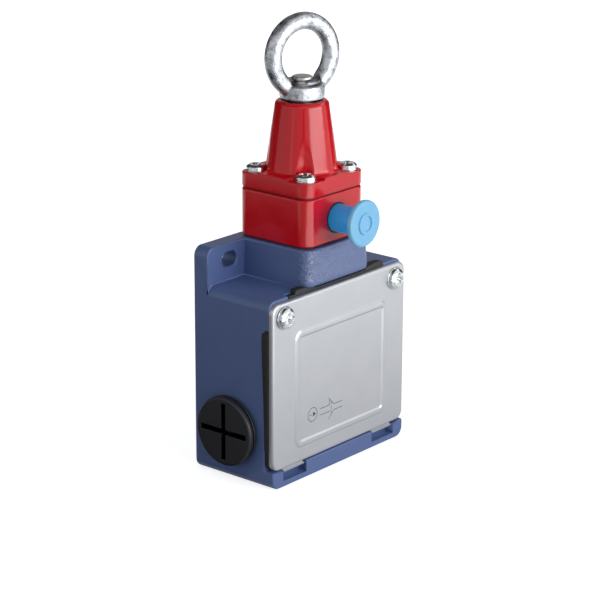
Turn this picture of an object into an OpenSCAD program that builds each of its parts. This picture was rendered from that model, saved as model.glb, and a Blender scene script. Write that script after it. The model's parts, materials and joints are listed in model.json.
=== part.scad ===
// Rope pull switch with a pull-to-reset knob.
// +X is to the right and +Z up along the pull; the cover faces -Y.
// The origin is midway between the two fixing slots, on the rear mounting face.

/* [Body] */
// Width of the body, ears included
body_w = 63; // [60:0.5:70]
// Height of the box that the cover closes
box_h = 58.7; // [56:0.1:66]
// Depth of the box from the mounting face to its rim
box_d = 27.7; // [26:0.1:34]
// Wall at the sides of the box
wall_t = 2.6; // [2:0.1:3.2]
// Wall at the top of the box
roof_t = 3.1; // [2.6:0.1:4]
// Wall at the foot of the box
floor_t = 3.2; // [2.6:0.1:4]
// Rear wall of the box
back_t = 3.2; // [2.6:0.1:4]
// Radius of the outline's corners, seen from the front
corner_r = 3; // [2:0.25:4]
// Thickness of the two fixing ears
ear_t = 5.5; // [4:0.1:7]
// Height of the neck and the ears above the box
neck_rise = 11.7; // [10:0.1:16]
// Width of the neck
neck_w = 29.5; // [28.6:0.1:32]
// Distance from the mounting face to the front of the neck
neck_d = 30.7; // [30.2:0.1:36]
// Height of the ledge under the cover
ledge_h = 5.5; // [5:0.1:7]

/* [Fixing slots] */
// Distance between the centres of the two slots
slot_pitch = 43; // [41:0.5:48]
// Height of a slot, for an M4 screw
slot_w = 4.5; // [4.2:0.1:5.3]
// Length of a slot
slot_l = 6.6; // [5.6:0.1:8]
// Distance from the slots down from the ears' top edge
slot_drop = 5.2; // [4.5:0.1:6]

/* [Cable entries] */
// Outer diameter of the entry thread, PG 11
entry_d = 18.6; // [16:0.1:20]
// Height of the side entries above the foot
entry_h = 15.9; // [15.5:0.1:18]
// Distance of the entries from the mounting face
entry_y = 14.3; // [14:0.1:15]
// Thickness of the thickened wall round an entry
entry_l = 6.2; // [5:0.1:8]
// Diameter of a plug's head
plug_d = 21.8; // [21:0.1:24]
// Thickness of a plug's head
plug_t = 2.7; // [2:0.1:4]

/* [Cover] */
// Thickness of the cover
cover_t = 1.6; // [1.2:0.1:2]
// Thickness of the gasket under the cover
gasket_t = 1.8; // [1.2:0.1:2.4]
// Distance of the cover screws from the body's sides
cover_screw_x = 5.2; // [4.6:0.1:5.6]
// Distance of the cover screws down from the box top
cover_screw_z = 5.5; // [5:0.1:5.8]
// Width of the raised border on the cover
border_w = 42.6; // [36:0.2:44]
// Height of the raised border
border_h = 36.2; // [30:0.2:37]
// Width of the border's band
band_w = 2; // [1.6:0.1:3]
// Distance from the cover's edge to the nearer side of a tab
tab_inset = 4.8; // [4:0.1:6]
// Width of the gaps in the ledge for the tabs
tab_gap_w = 10.8; // [8:0.1:12]

/* [Head] */
// Distance of the pull axis from the mounting face
head_y = 15.45; // [15:0.05:16]
// Width of the square head
head_w = 27.2; // [26.8:0.1:29]
// Radius of the head's upright edges
head_r = 3.6; // [3:0.1:4.5]
// Height of the head block
block_h = 14.4; // [14.4:0.1:18]
// Thickness of the cap's flange between its corners
flange_t = 5; // [4.4:0.1:7]
// Depth of the corner pads under the head screws
pad_drop = 1.2; // [0.6:0.1:1.6]
// Distance of the head screws from the head's sides
head_screw_inset = 3.7; // [3.4:0.05:3.9]
// Radius of the scallop round a head screw
scallop_r = 4.3; // [3.6:0.05:4.6]
// Radius of the cone where it meets the flange
cone_r = 11; // [10.6:0.1:11.6]
// Height of the cone above the flange
cone_h = 21.9; // [21:0.1:28]
// Slope of the cone's side
cone_slope = 8.5; // [6:0.25:9]

/* [Pull shaft and eye] */
// Travel of the shaft when the rope is pulled
pull_travel = 6; // [5:0.25:6]
// Diameter of the shaft
shaft_d = 8; // [7:0.1:8.5]
// Diameter of the journal that carries the eye
journal_d = 6.2; // [5.5:0.1:6.4]
// Diameter of the shaft's latching flange
latch_flange_d = 13.6; // [12.6:0.1:14]
// Mean radius of the eye's ring
eye_r = 10.4; // [9.6:0.1:13]
// Thickness of the eye's ring
eye_wire = 5.36; // [4.6:0.02:6]
// Diameter of the eye's collar
collar_d = 13.7; // [12.6:0.1:15]
// Height of the eye's collar
collar_h = 3.6; // [3:0.1:4.4]
// Height of the ring's centre above the collar's foot
eye_rise = 11.9; // [11.9:0.1:15]
// Angle of the ring about the pull axis, as delivered
eye_turn = -14.9; // [-90:0.1:90]

/* [Reset knob] */
// Distance that the knob can be pulled out
knob_travel = 3; // [2:0.1:3]
// Diameter of the knob's disc
knob_d = 14.2; // [12:0.1:15]
// Thickness of the knob's disc
knob_t = 2; // [1.6:0.1:2.4]
// Diameter of the knob's stem
stem_d = 8.4; // [8.2:0.1:9]
// Distance from the head's front to the knob's face
knob_reach = 11.35; // [11:0.05:14]
// Height of the knob's axis above the head block's foot
knob_h = 7.05; // [6.8:0.05:8]

/* [Contact block] */
// Height of the contact block
contact_h = 27; // [27:0.25:28]
// Depth of the contact block
contact_d = 15; // [15:0.1:16]
// Distance from the box roof down to the contact block
contact_drop = 3.1; // [3:0.1:4]
// Diameter of the plunger's stem
plunger_d = 5; // [4:0.1:6]

/* [Clearances] */
// Running clearance of a shaft in its bush, on the radius
run_gap = 0.06; // [0.02:0.01:0.1]
// Clearance between pieces that fit in each other, on the radius
fit_gap = 0.05; // [0.02:0.01:0.1]
// Clearance between pieces that stand beside each other
side_gap = 0.25; // [0.15:0.05:0.4]

/* [Hidden] */
$fn = 64;

// Heights above the body's foot
ear_h = box_h + neck_rise;
slot_h = ear_h - slot_drop;
seal_t = 0.4;
block_z = ear_h + seal_t;
cap_seal_t = 0.5;
cap_z = block_z + block_h + cap_seal_t;
flange_z = cap_z + flange_t;
pad_z = flange_z - pad_drop;
cone_z = flange_z + cone_h;
collar_gap = 0.5;
collar_z = cone_z + collar_gap;
collar_top = collar_z + collar_h;
knob_z = block_z + knob_h;

// Distances from the mounting face
rim_y = box_d;
cover_y = rim_y + gasket_t;
front_y = cover_y + cover_t;
head_front = head_y + head_w / 2;

// Cover screws, M3.5
screw_x = body_w / 2 - cover_screw_x;
screw_z = box_h - cover_screw_z;
boss_w = 9;
column_w = boss_w + 2.2;
thread_d = 3.5;
screw_head_d = 6.4;
screw_head_h = 2.4;
dimple_t = 0.3;

// Neck
neck_r = 3.5;
neck_bore = 17;
neck_floor = box_h + 2.3;
plunger_hole = 10;

// Head cavity, cap and bushes
head_screw_x = head_w / 2 - head_screw_inset;
head_screw_d = 6;
head_screw_h = 2.2;
head_bore = 19.8;
cone_bore = 15.2;
bush_d = 11.2;
bush_flange_d = 14.4;
bush_flange_t = 1.2;
bush_foot = cone_z - 13.2;
wiper_t = 2.2;
wiper_d = 12.4;

// Shaft: flange, journal, groove
shaft_foot = neck_floor + 0.5;
latch_flange_h = 5.5;
latch_foot = knob_z - 2.85;
latch_top = latch_foot + latch_flange_h;
clip_t = 0.9;
groove_z = collar_top + 0.15;
groove_h = clip_t + 0.1;
groove_d = journal_d - 1.2;
shaft_top = groove_z + groove_h + 1.2;
clip_d = 10.6;
spot_d = 11.2;

// Latch
bolt_d = 5.4;
rod_d = 2.4;
bolt_tip = head_y + latch_flange_d / 2 + 0.2;
guide_d = 6.4;
guide_flange_d = 12;
guide_seat = head_front - 3.55;
guide_flange_t = 1;
knob_face = head_front + knob_reach;
guide_end = knob_face - 4;
latch_solid = 4.4;
bolt_shoulder = guide_end - 1 - latch_solid - knob_travel;
knob_hole = 9.4;

// Contact block, between the columns of the cover screws
contact_w = body_w - 2 * column_w - 0.6;
block_roof = box_h - roof_t - contact_drop;
block_foot = block_roof - contact_h;
block_back = back_t + 3;
block_front = block_back + contact_d;
chamber_floor = block_foot + 1.5;
chamber_roof = block_roof - 1.5;
pocket_in = contact_w / 2 - 8.4;
chamber_w = 2 * pocket_in - 2.4;
pocket_h = 9;
pocket_y = block_front - 7.4;
terminal_x = contact_w / 2 - 4.4;
terminal_z = [chamber_floor + pocket_h / 2, chamber_roof - pocket_h / 2];
web_z = (chamber_floor + chamber_roof) / 2;
tongue_t = 0.8;
rivet_t = 0.6;
rivet_d = 2.6;
rivet_x = chamber_w / 2 - 2;
tongue_x = rivet_x - 1.4;
bridge_t = 0.8;
bridge_d = 4.4;
touch = 0.05;
lower_face = chamber_floor + 4.55;
upper_face = chamber_roof - 1.55;
carrier_w = 7;
carrier_d = 6.8;
carrier_foot = chamber_floor + 3;
carrier_top = chamber_roof - pull_travel - 0.2;
lower_bar = lower_face + touch + rivet_t;
upper_bar = upper_face - pull_travel - touch - rivet_t - bridge_t;
bridge_room = 3.2;
lower_window = [lower_bar - 0.7, lower_bar + bridge_t + bridge_room];
upper_window = [upper_bar - bridge_room, upper_bar + bridge_t + touch];
well_foot = block_foot - 3.5;
plunger_top = shaft_foot - 0.1;

// Earth terminal
earth_x = 17;
earth_z = 15;
earth_rise = 4;

// Moves from the body's foot to the origin at the slots
module seat() {
    translate([0, 0, -slot_h]) children();
}

// Stands a piece on the pull axis at height z
module on_axis(z = 0) {
    translate([0, -head_y, z]) children();
}

// Places a copy at each head screw
module head_screw_places() {
    for (sx = [-1, 1], sy = [-1, 1])
        translate([sx * head_screw_x, -head_y + sy * head_screw_x, 0]) children();
}

// Mirrors a piece to the other side of the body
module both_sides() {
    for (side = [0, 1])
        mirror([side, 0, 0]) children();
}

// Rectangle with rounded corners about the origin
module rounded(w, h, r) {
    square([w - 2 * r, h], center = true);
    square([w, h - 2 * r], center = true);
    for (sx = [-1, 1], sy = [-1, 1])
        translate([sx * (w / 2 - r), sy * (h / 2 - r)]) circle(r);
}

// Front outline w wide, from height z0 to z1
module outline(w, z0, z1, r) {
    translate([0, (z0 + z1) / 2]) rounded(w, z1 - z0, r);
}

// Raises a front outline from distance y0 to y1 in front of the mounting face
module forward(y0, y1) {
    translate([0, -y0, 0]) rotate([90, 0, 0]) linear_extrude(y1 - y0) children();
}

// Round bar along the depth, at x and z, from distance y0 to y1
module bar_y(x, z, y0, y1, d) {
    translate([x, -y0, z]) rotate([90, 0, 0]) cylinder(d = d, h = y1 - y0);
}

// Ring or tube standing on height z
module tube(z, h, d_out, d_in) {
    translate([0, 0, z]) difference() {
        cylinder(d = d_out, h = h);
        translate([0, 0, -1]) cylinder(d = d_in, h = h + 2);
    }
}

// Solid of revolution from a list of [radius, height]
module turned(points) {
    rotate_extrude() polygon(points);
}

// Square block with rounded upright edges and chamfered top and foot
module head_slab(h, c) {
    hull() {
        translate([0, 0, c]) linear_extrude(h - 2 * c) rounded(head_w, head_w, head_r, $fn = 32);
        linear_extrude(h) rounded(head_w - 2 * c, head_w - 2 * c, head_r - c, $fn = 32);
    }
}

// Helical spring standing on height 0, with its end turns closed
module coil_spring(h, r, wire, turns, sides = 8, steps = 16) {
    closed = 1;
    total = turns + 2 * closed;
    count = round(total * steps);
    rise = h - wire;
    function height(t) = t < closed ? wire * t
        : t > total - closed ? rise - wire * (total - t)
        : wire + (rise - 2 * wire) * (t - closed) / turns;
    rings = [for (i = [0:count]) let (t = total * i / count, a = 360 * t)
        for (s = [0:sides - 1]) let (b = 360 * s / sides, q = r + wire / 2 * 0.98 * cos(b))
            [q * cos(a), q * sin(a), wire / 2 + height(t) + wire / 2 * 0.98 * sin(b)]];
    walls = [for (i = [0:count - 1], s = [0:sides - 1]) let (n = (s + 1) % sides)
        [i * sides + s, i * sides + n, (i + 1) * sides + n, (i + 1) * sides + s]];
    caps = [[for (s = [0:sides - 1]) sides - 1 - s], [for (s = [0:sides - 1]) count * sides + s]];
    polyhedron(rings, concat([for (w = walls) [w[3], w[2], w[1], w[0]]], [for (c = caps)
        [for (i = [len(c) - 1:-1:0]) c[i]]]));
}

// Pan head screw with a thin collar, pointing down, its head's seat at height 0
module pan_screw(d, l, head_d, head_h) {
    r = head_d / 2;
    neck_in = 0.22;
    difference() {
        turned([[0, -l], [d / 2 - 0.4, -l], [d / 2, -l + 0.4], [d / 2, 0], [r - 0.1, 0], [r, 0.12],
            [r, 0.45], [r - neck_in, 0.55], [r - neck_in, head_h * 0.6], [r - 0.5, head_h * 0.76],
            [r - 1, head_h * 0.92], [r - 1.8, head_h], [0, head_h]]);
        for (turn = [0, 90])
            rotate(turn) translate([-head_d * 0.31, -0.42, head_h - 1.3]) cube([head_d * 0.62, 0.84, 2]);
    }
}

// Screw along the depth, pointing back, its head's seat at distance y
module front_screw(x, z, y, l, d = thread_d, head_d = screw_head_d, head_h = screw_head_h, turn = 0) {
    translate([x, -y, z]) rotate([90, turn, 0]) pan_screw(d, l, head_d, head_h);
}

// Inner outline of the box, clear of the columns behind the cover screws
module cavity_outline() {
    inner_w = body_w - 2 * wall_t;
    difference() {
        outline(inner_w, floor_t, box_h - roof_t, 2);
        both_sides() translate([body_w / 2 - column_w, box_h - column_w]) square(column_w + 1);
    }
}

// Outline that the gasket and the rim share on their inside
module rim_opening() {
    lip_z = ledge_h + 2.7;
    intersection() {
        cavity_outline();
        translate([-body_w / 2, lip_z]) square([body_w, box_h]);
    }
}

// Neck between the box and the head, drafted towards its top and chamfered under its overhang
module neck() {
    draft = 0.4;
    under = 1.2;
    hull() {
        translate([-neck_w / 2 - draft, -neck_d / 2, box_h]) cube([neck_w + 2 * draft, neck_d / 2, 0.1]);
        translate([-neck_w / 2, -neck_d / 2, ear_h - 0.1]) cube([neck_w, neck_d / 2, 0.1]);
        for (s = [-1, 1]) {
            translate([s * (neck_w / 2 + draft - neck_r), -neck_d + neck_r + under, box_h])
                cylinder(r = neck_r, h = 0.1, $fn = 32);
            translate([s * (neck_w / 2 + draft - neck_r), -neck_d + neck_r, box_h + under])
                cylinder(r = neck_r, h = 0.1, $fn = 32);
            translate([s * (neck_w / 2 - neck_r), -neck_d + neck_r + draft, ear_h - 0.1])
                cylinder(r = neck_r, h = 0.1, $fn = 32);
        }
    }
}

// Thickened wall round each cable entry
module entry_bosses() {
    boss_d = entry_d + 5.4;
    both_sides() translate([-body_w / 2 + 1, -entry_y, entry_h]) rotate([0, 90, 0])
        cylinder(d = boss_d, h = entry_l - 1);
    translate([0, -entry_y, 1]) cylinder(d = boss_d, h = entry_l - 1);
}

module body_housing() {
    color("#4c5a8c") seat() difference() {
        union() {
            difference() {
                union() {
                    forward(0, rim_y) outline(body_w, 0, box_h, corner_r);
                    forward(0, ear_t) outline(body_w, 0, ear_h, corner_r);
                    neck();
                    forward(rim_y, front_y) intersection() {
                        outline(body_w, 0, box_h, corner_r);
                        translate([-body_w, 0]) square([2 * body_w, ledge_h]);
                    }
                    both_sides() forward(rim_y - 1, cover_y) intersection() {
                        outline(body_w, 0, box_h, corner_r);
                        translate([body_w / 2 - boss_w, box_h - boss_w]) square(boss_w);
                    }
                }
                forward(back_t, rim_y - 3) cavity_outline();
                forward(back_t, rim_y + 0.01) rim_opening();
            }
            entry_bosses();
            for (s = [-1, 1]) bar_y(s * terminal_x, web_z, back_t - 1, block_back, 7.4);
            bar_y(earth_x, earth_z, back_t - 1, back_t + earth_rise, 8);
        }
        slots();
        entries();
        on_axis(neck_floor) cylinder(d = neck_bore, h = neck_rise);
        on_axis(box_h - roof_t - 1) cylinder(d = plunger_hole, h = roof_t + 4);
        for (s = [-1, 1]) {
            bar_y(s * screw_x, screw_z, cover_y - 9, cover_y + 1, thread_d + 2 * fit_gap);
            bar_y(s * terminal_x, web_z, 1.5, block_back + 1, 3 + 2 * fit_gap);
        }
        bar_y(earth_x, earth_z, 1.5, back_t + earth_rise + 1, thread_d + 2 * fit_gap);
        translate([0, 0, neck_floor - 0.5]) head_screw_places()
            cylinder(d = thread_d + 2 * fit_gap, h = neck_rise);
        both_sides() tab_gap();
    }
}

// The two fixing slots
module slots() {
    both_sides() forward(-1, ear_t + 1) for (dx = [-1, 1]) {
        translate([slot_pitch / 2 + dx * (slot_l - slot_w) / 2, slot_h]) circle(d = slot_w);
        translate([slot_pitch / 2 - (slot_l - slot_w) / 2, slot_h - slot_w / 2])
            square([slot_l - slot_w, slot_w]);
    }
}

// The three cable entries, left, right and foot
module entries() {
    both_sides() translate([-body_w / 2 - 1, -entry_y, entry_h]) rotate([0, 90, 0])
        cylinder(d = entry_d, h = entry_l + 2);
    translate([0, -entry_y, -1]) cylinder(d = entry_d, h = entry_l + 2);
}

// Gap in the ledge for a cover tab, with the pocket behind it
module tab_gap() {
    x0 = body_w / 2 - tab_inset - tab_gap_w;
    gap_floor = 1.9;
    translate([x0, -front_y - 1, gap_floor]) cube([tab_gap_w, front_y + 1 - rim_y - 0.5, ledge_h]);
    translate([x0, -cover_y, ledge_h - 1.8]) cube([tab_gap_w, 3, 1.8]);
}

// Cover: chamfered plate, raised border, screw dimples and two bent tabs
module cover_plate() {
    foot_z = ledge_h + side_gap;
    top_z = box_h - 0.9;
    border_z = foot_z + 5.3;
    color("#c3c7cc") seat() {
        difference() {
            union() {
                hull() {
                    forward(cover_y, front_y - 0.5) outline(body_w, foot_z, top_z, corner_r, $fn = 32);
                    forward(cover_y, front_y) outline(body_w - 1, foot_z + 0.5, top_z - 0.5,
                        corner_r - 0.5, $fn = 32);
                }
                raised_band(border_z, 0, 0.35, front_y);
            }
            raised_band(border_z, 0.4, 0.35, cover_y - 0.01);
            for (s = [-1, 1]) {
                bar_y(s * screw_x, screw_z, cover_y - 1, front_y + 1, thread_d + 0.6);
                translate([s * screw_x, -front_y + dimple_t, screw_z]) rotate([90, 0, 0])
                    cylinder(d1 = screw_head_d + 0.6, d2 = screw_head_d + 1.4, h = dimple_t + 0.01);
            }
        }
        both_sides() cover_tab(foot_z);
    }
}

// Band round the cover's panel, h high from distance y, narrowed by inset
module raised_band(z, inset, h, y) {
    slope = 0.3;
    difference() {
        band_solid(inset, z, h, y, slope);
        band_solid(band_w - inset, z, h + 0.02, y - 0.01, -slope);
    }
}

// Solid that fills the band's outline moved in by inset
module band_solid(inset, z, h, y, slope) {
    hull() {
        forward(y, y + 0.02) outline(border_w - 2 * inset, z + inset, z + border_h - inset,
            max(0.6, 2.4 - inset), $fn = 24);
        forward(y + h - 0.02, y + h) outline(border_w - 2 * inset - 2 * slope, z + inset + slope,
            z + border_h - inset - slope, max(0.5, 2.4 - inset - slope), $fn = 24);
    }
}

// Tab bent back from the cover's lower edge into the ledge's pocket
module cover_tab(foot_z) {
    relief = 0.7;
    sheet = 1;
    bend_r = 1.5;
    x0 = body_w / 2 - tab_inset - tab_gap_w + relief;
    bend_y = front_y - bend_r;
    reach = cover_y - 1.6;
    translate([x0, 0, 0]) rotate([90, 0, 90]) linear_extrude(tab_gap_w - 2 * relief) {
        translate([-bend_y, foot_z]) intersection() {
            difference() {
                circle(bend_r);
                circle(bend_r - sheet);
            }
            translate([-bend_r, -bend_r]) square(bend_r);
        }
        translate([-bend_y, foot_z - bend_r]) square([bend_y - reach, sheet]);
        translate([-front_y, foot_z - 0.01]) square([sheet, 0.6]);
    }
}

// Gasket: frame under the cover, and a lip over the roof each side of the neck, the left one shorter
module cover_gasket() {
    inset = 0.3;
    lip_top = box_h + 1.1;
    lip_in = neck_w / 2 + 0.7;
    lip_out = body_w / 2 - boss_w - side_gap;
    short = 3;
    color("#202124") seat() {
        forward(rim_y, cover_y) difference() {
            intersection() {
                outline(body_w - 2 * inset, ledge_h + 0.15, box_h - 0.2, corner_r);
                difference() {
                    translate([-body_w / 2, 0]) square([body_w, ear_h]);
                    both_sides() translate([body_w / 2 - boss_w - 0.1, box_h - boss_w - 0.1])
                        square(boss_w + 2);
                }
            }
            rim_opening();
        }
        translate([lip_in, 0, 0]) rotate([90, 0, 90]) linear_extrude(lip_out - lip_in) gasket_lip(lip_top);
        translate([short - lip_out, 0, 0]) rotate([90, 0, 90])
            linear_extrude(lip_out - short - lip_in) gasket_lip(lip_top);
    }
}

// Section of the gasket's lip across the rim
module gasket_lip(top) {
    r = 0.5;
    back = rim_y - 1.4;
    translate([-cover_y, box_h - 0.6]) square([gasket_t, 0.6]);
    translate([-cover_y, box_h]) square([cover_y - back, top - box_h - r]);
    translate([-cover_y + r, box_h]) square([cover_y - back - 2 * r, top - box_h]);
    for (y = [-cover_y + r, -back - r])
        translate([y, top - r]) circle(r);
}

module cover_screws() {
    seat_y = front_y - dimple_t + side_gap / 5;
    color("#d4d6d8") seat() {
        front_screw(-screw_x, screw_z, seat_y, 9, turn = 20);
        front_screw(screw_x, screw_z, seat_y, 9, turn = 65);
    }
}

// Cable plug: rounded head over a thin rim, with a cross slot, and a hollow shank
module cable_plug() {
    edge = 0.8;
    rim_t = 0.7;
    groove = 0.4;
    head_d = plug_d - 0.3;
    shank_l = entry_l + 1;
    face = plug_t + 0.6;
    shank_d = entry_d - 2 * fit_gap;
    slot_size = 1.7;
    difference() {
        rotate_extrude() {
            translate([0, 0.6]) square([plug_d / 2, rim_t]);
            square([head_d / 2 - 0.6, face - edge]);
            translate([0, 0.6 + rim_t + groove]) square([head_d / 2, face - edge - 0.6 - rim_t - groove]);
            square([head_d / 2 - edge, face]);
            translate([head_d / 2 - edge, face - edge]) circle(edge);
            translate([0, -shank_l]) square([shank_d / 2, shank_l + 1]);
        }
        translate([0, 0, -shank_l - 1]) cylinder(d = shank_d - 4, h = shank_l + 0.4);
        difference() {
            translate([0, 0, -0.001]) cylinder(d = plug_d + 4, h = 0.601);
            translate([0, 0, -1]) cylinder(d = shank_d, h = 3);
        }
        for (turn = [0, 90])
            rotate(turn) translate([-8.9, -slot_size / 2, face - 1.5]) cube([17.8, slot_size, 3]);
    }
}

module cable_plug_left() {
    color("#1d1e20") seat() translate([-body_w / 2, -entry_y, entry_h])
        rotate([0, -90, 0]) cable_plug();
}

module cable_plug_right() {
    color("#1d1e20") seat() translate([body_w / 2, -entry_y, entry_h])
        rotate([0, 90, 0]) cable_plug();
}

module plug_seals() {
    color("#2b2b2d") seat() both_sides() translate([body_w / 2, -entry_y, entry_h])
        rotate([0, 90, 0]) tube(0, 0.6, plug_d - 1.4, entry_d);
}

// Head block: square casting with a round bore and the knob's hole
module head_block() {
    color("#c01f2c") seat() difference() {
        on_axis(block_z) head_slab(block_h, 0.4);
        on_axis(block_z - 1) cylinder(d = head_bore, h = block_h + 2);
        translate([0, 0, block_z - 1]) head_screw_places() cylinder(d = thread_d + 0.5, h = block_h + 2);
        bar_y(0, knob_z, head_y, head_front + 1, knob_hole);
        bar_y(0, knob_z, head_y, guide_seat, guide_flange_d + 2 * fit_gap);
    }
}

// Flat gasket of the head, with holes for its screws
module head_gasket(z, t, inset) {
    difference() {
        on_axis(z) linear_extrude(t) rounded(head_w - 2 * inset, head_w - 2 * inset, head_r - inset);
        on_axis(z - 1) cylinder(d = head_bore, h = t + 2);
        translate([0, 0, z - 1]) head_screw_places() cylinder(d = thread_d + 0.5, h = t + 2);
    }
}

module block_gasket() {
    color("#202124") seat() head_gasket(ear_h, seal_t, 0.5);
}

module cap_gasket() {
    color("#202124") seat() head_gasket(cap_z - cap_seal_t, cap_seal_t, 0.5);
}

// Side of the cone: its fillet on the flange, its slope and its rounded top
module cone() {
    top_r = cone_r - cone_h * tan(cone_slope);
    edge = 1.5;
    foot = 1;
    rotate_extrude() {
        difference() {
            polygon([[0, -0.5], [cone_r + foot, -0.5], [cone_r + foot, 0], [cone_r + foot, foot],
                [cone_r - foot * tan(cone_slope) - 0.02, foot],
                [top_r + edge * tan(cone_slope), cone_h - edge], [0, cone_h - edge]]);
            translate([cone_r + foot, foot]) circle(foot);
        }
        translate([0, cone_h - edge - 0.01]) square([top_r - edge + 0.2, edge + 0.01]);
        translate([top_r - edge + 0.2, cone_h - edge]) circle(edge);
    }
}

// Room round a head screw, open to the corner of the flange
module screw_pad() {
    cylinder(r = scallop_r, h = cone_h);
    translate([0, -scallop_r, 0]) cube([scallop_r + head_w, 2 * scallop_r, pad_drop + 1]);
    translate([-scallop_r, 0, 0]) cube([2 * scallop_r, scallop_r + head_w, pad_drop + 1]);
}

module head_cap() {
    color("#c01f2c") seat() difference() {
        union() {
            on_axis(cap_z) head_slab(flange_t, 0.5);
            on_axis(flange_z) cone();
        }
        for (sx = [0, 1], sy = [0, 1])
            on_axis(pad_z) mirror([sx, 0, 0]) mirror([0, sy, 0])
                translate([head_screw_x, head_screw_x, 0]) screw_pad();
        translate([0, 0, cap_z - 1]) head_screw_places() cylinder(d = thread_d + 0.5, h = flange_t + 2);
        on_axis(cap_z - 1) cylinder(d = cone_bore, h = bush_foot + bush_flange_t - cap_z + 1);
        on_axis(bush_foot) cylinder(d = bush_d + 2 * fit_gap, h = cone_h);
        on_axis(cone_z - wiper_t) cylinder(d = wiper_d + 2 * fit_gap, h = cone_h);
    }
}

module head_screws() {
    turns = [12, 55, 78, 33];
    color("#dcdde0") seat() for (i = [0:3])
        translate([(i % 2 * 2 - 1) * head_screw_x, -head_y + (floor(i / 2) * 2 - 1) * head_screw_x, pad_z])
            rotate(turns[i]) pan_screw(thread_d, pad_z - neck_floor - 1, head_screw_d, head_screw_h);
}

// Bush that guides the shaft in the cone, flanged as the spring's seat
module guide_bush() {
    top = cone_z - wiper_t;
    bore_d = shaft_d + 2 * run_gap;
    color("#b08d4a") seat() on_axis() {
        tube(bush_foot, bush_flange_t, bush_flange_d, bore_d);
        tube(bush_foot + 0.5, top - bush_foot - 0.5, bush_d, bore_d);
    }
}

module lower_bush() {
    color("#d9d4c4") seat() on_axis()
        tube(ear_h - 4.2, 4.1, neck_bore - 2 * fit_gap, shaft_d + 2 * run_gap);
}

// Wiper lip in the top of the cone
module shaft_wiper() {
    top = collar_z - 0.2;
    foot = cone_z - wiper_t;
    color("#202124") seat() on_axis() difference() {
        turned([[shaft_d / 2 + run_gap, foot], [wiper_d / 2, foot], [wiper_d / 2, cone_z],
            [wiper_d / 2 - 1.2, top], [shaft_d / 2 + run_gap, top]]);
    }
}

// Pull shaft: foot, latching flange, guided length, journal and clip groove
module pull_shaft() {
    r = shaft_d / 2;
    f = latch_flange_d / 2;
    j = journal_d / 2;
    g = groove_d / 2;
    color("#b9bbbd") seat() on_axis() turned([[0, shaft_foot], [r - 0.5, shaft_foot], [r, shaft_foot + 0.5],
        [r, latch_foot], [f - 0.6, latch_foot], [f, latch_foot + 0.6], [f, latch_top - 1],
        [f - 1, latch_top], [r, latch_top], [r, collar_z - 0.05], [j, collar_z - 0.05], [j, groove_z],
        [g, groove_z], [g, groove_z + groove_h], [j, groove_z + groove_h], [j, shaft_top - 0.4],
        [j - 0.4, shaft_top], [0, shaft_top]]);
}

// E clip: outer arc, three prongs on the groove and the open side
module retaining_clip() {
    arc = 1.5;
    prong_w = 2;
    seat_r = groove_d / 2 + fit_gap;
    color("#a8abad") seat() on_axis(groove_z + 0.05) rotate(-60) linear_extrude(clip_t) difference() {
        union() {
            difference() {
                circle(d = clip_d);
                circle(d = clip_d - 2 * arc);
            }
            for (turn = [0, 90, 180])
                rotate(turn) translate([seat_r - 0.4, -prong_w / 2])
                    square([clip_d / 2 - seat_r - 0.4, prong_w]);
        }
        circle(seat_r);
        translate([-2.4, -clip_d]) square([4.8, clip_d - seat_r]);
    }
}

module return_spring() {
    r = (cone_bore + shaft_d) / 4 + 0.4;
    color("#9a9da0") seat() on_axis(latch_top + 0.05)
        coil_spring(bush_foot - latch_top - 0.1, r, 1.4, 5, 8, 18);
}

// Eye: forged ring on a collar, spot faced inside for the clip
module pull_eye() {
    centre = collar_z + eye_rise;
    color("#b4b8ba") seat() on_axis() rotate(eye_turn) difference() {
        union() {
            translate([0, 0, centre]) rotate([90, 0, 0]) rotate_extrude() translate([eye_r, 0])
                circle(d = eye_wire);
            turned([[0, collar_z], [collar_d / 2 - 0.7, collar_z], [collar_d / 2, collar_z + 0.7],
                [collar_d / 2, collar_top - 0.4], [collar_d / 2 - 0.4, collar_top], [0, collar_top]]);
        }
        translate([0, 0, collar_top]) cylinder(d = spot_d, h = 5);
        translate([0, 0, collar_z - 10]) cylinder(d = 4 * collar_d, h = 10);
        translate([0, 0, collar_z - 1]) cylinder(d = journal_d + 2 * run_gap, h = collar_h + 2);
    }
}

// Reset knob: hollow stem over the guide, and a disc with a ring on its face
module reset_knob() {
    stem_end = guide_seat + 0.2;
    edge = 0.6;
    color("#4aa8e0") seat() translate([0, -stem_end, knob_z]) rotate([90, 0, 0]) difference() {
        l = knob_face - stem_end;
        rotate_extrude() {
            square([stem_d / 2, l - 0.2]);
            translate([0, l - knob_t]) square([knob_d / 2 - edge, knob_t]);
            translate([0, l - knob_t + edge]) square([knob_d / 2, knob_t - 2 * edge]);
            for (h = [l - edge, l - knob_t + edge])
                translate([knob_d / 2 - edge, h]) circle(edge);
            translate([2.5, l - 0.01]) square([0.9, 0.31]);
        }
        translate([0, 0, -1]) cylinder(d = guide_d + 2 * run_gap, h = guide_end + side_gap - stem_end + 1);
        cylinder(d = rod_d + 2 * fit_gap, h = l - 0.8);
    }
}

module knob_seal() {
    color("#18191a") seat() translate([0, -guide_seat - 0.3, knob_z]) rotate([90, 0, 0])
        tube(0, head_front - guide_seat, knob_hole - 2 * fit_gap, stem_d + 2 * run_gap);
}

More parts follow.
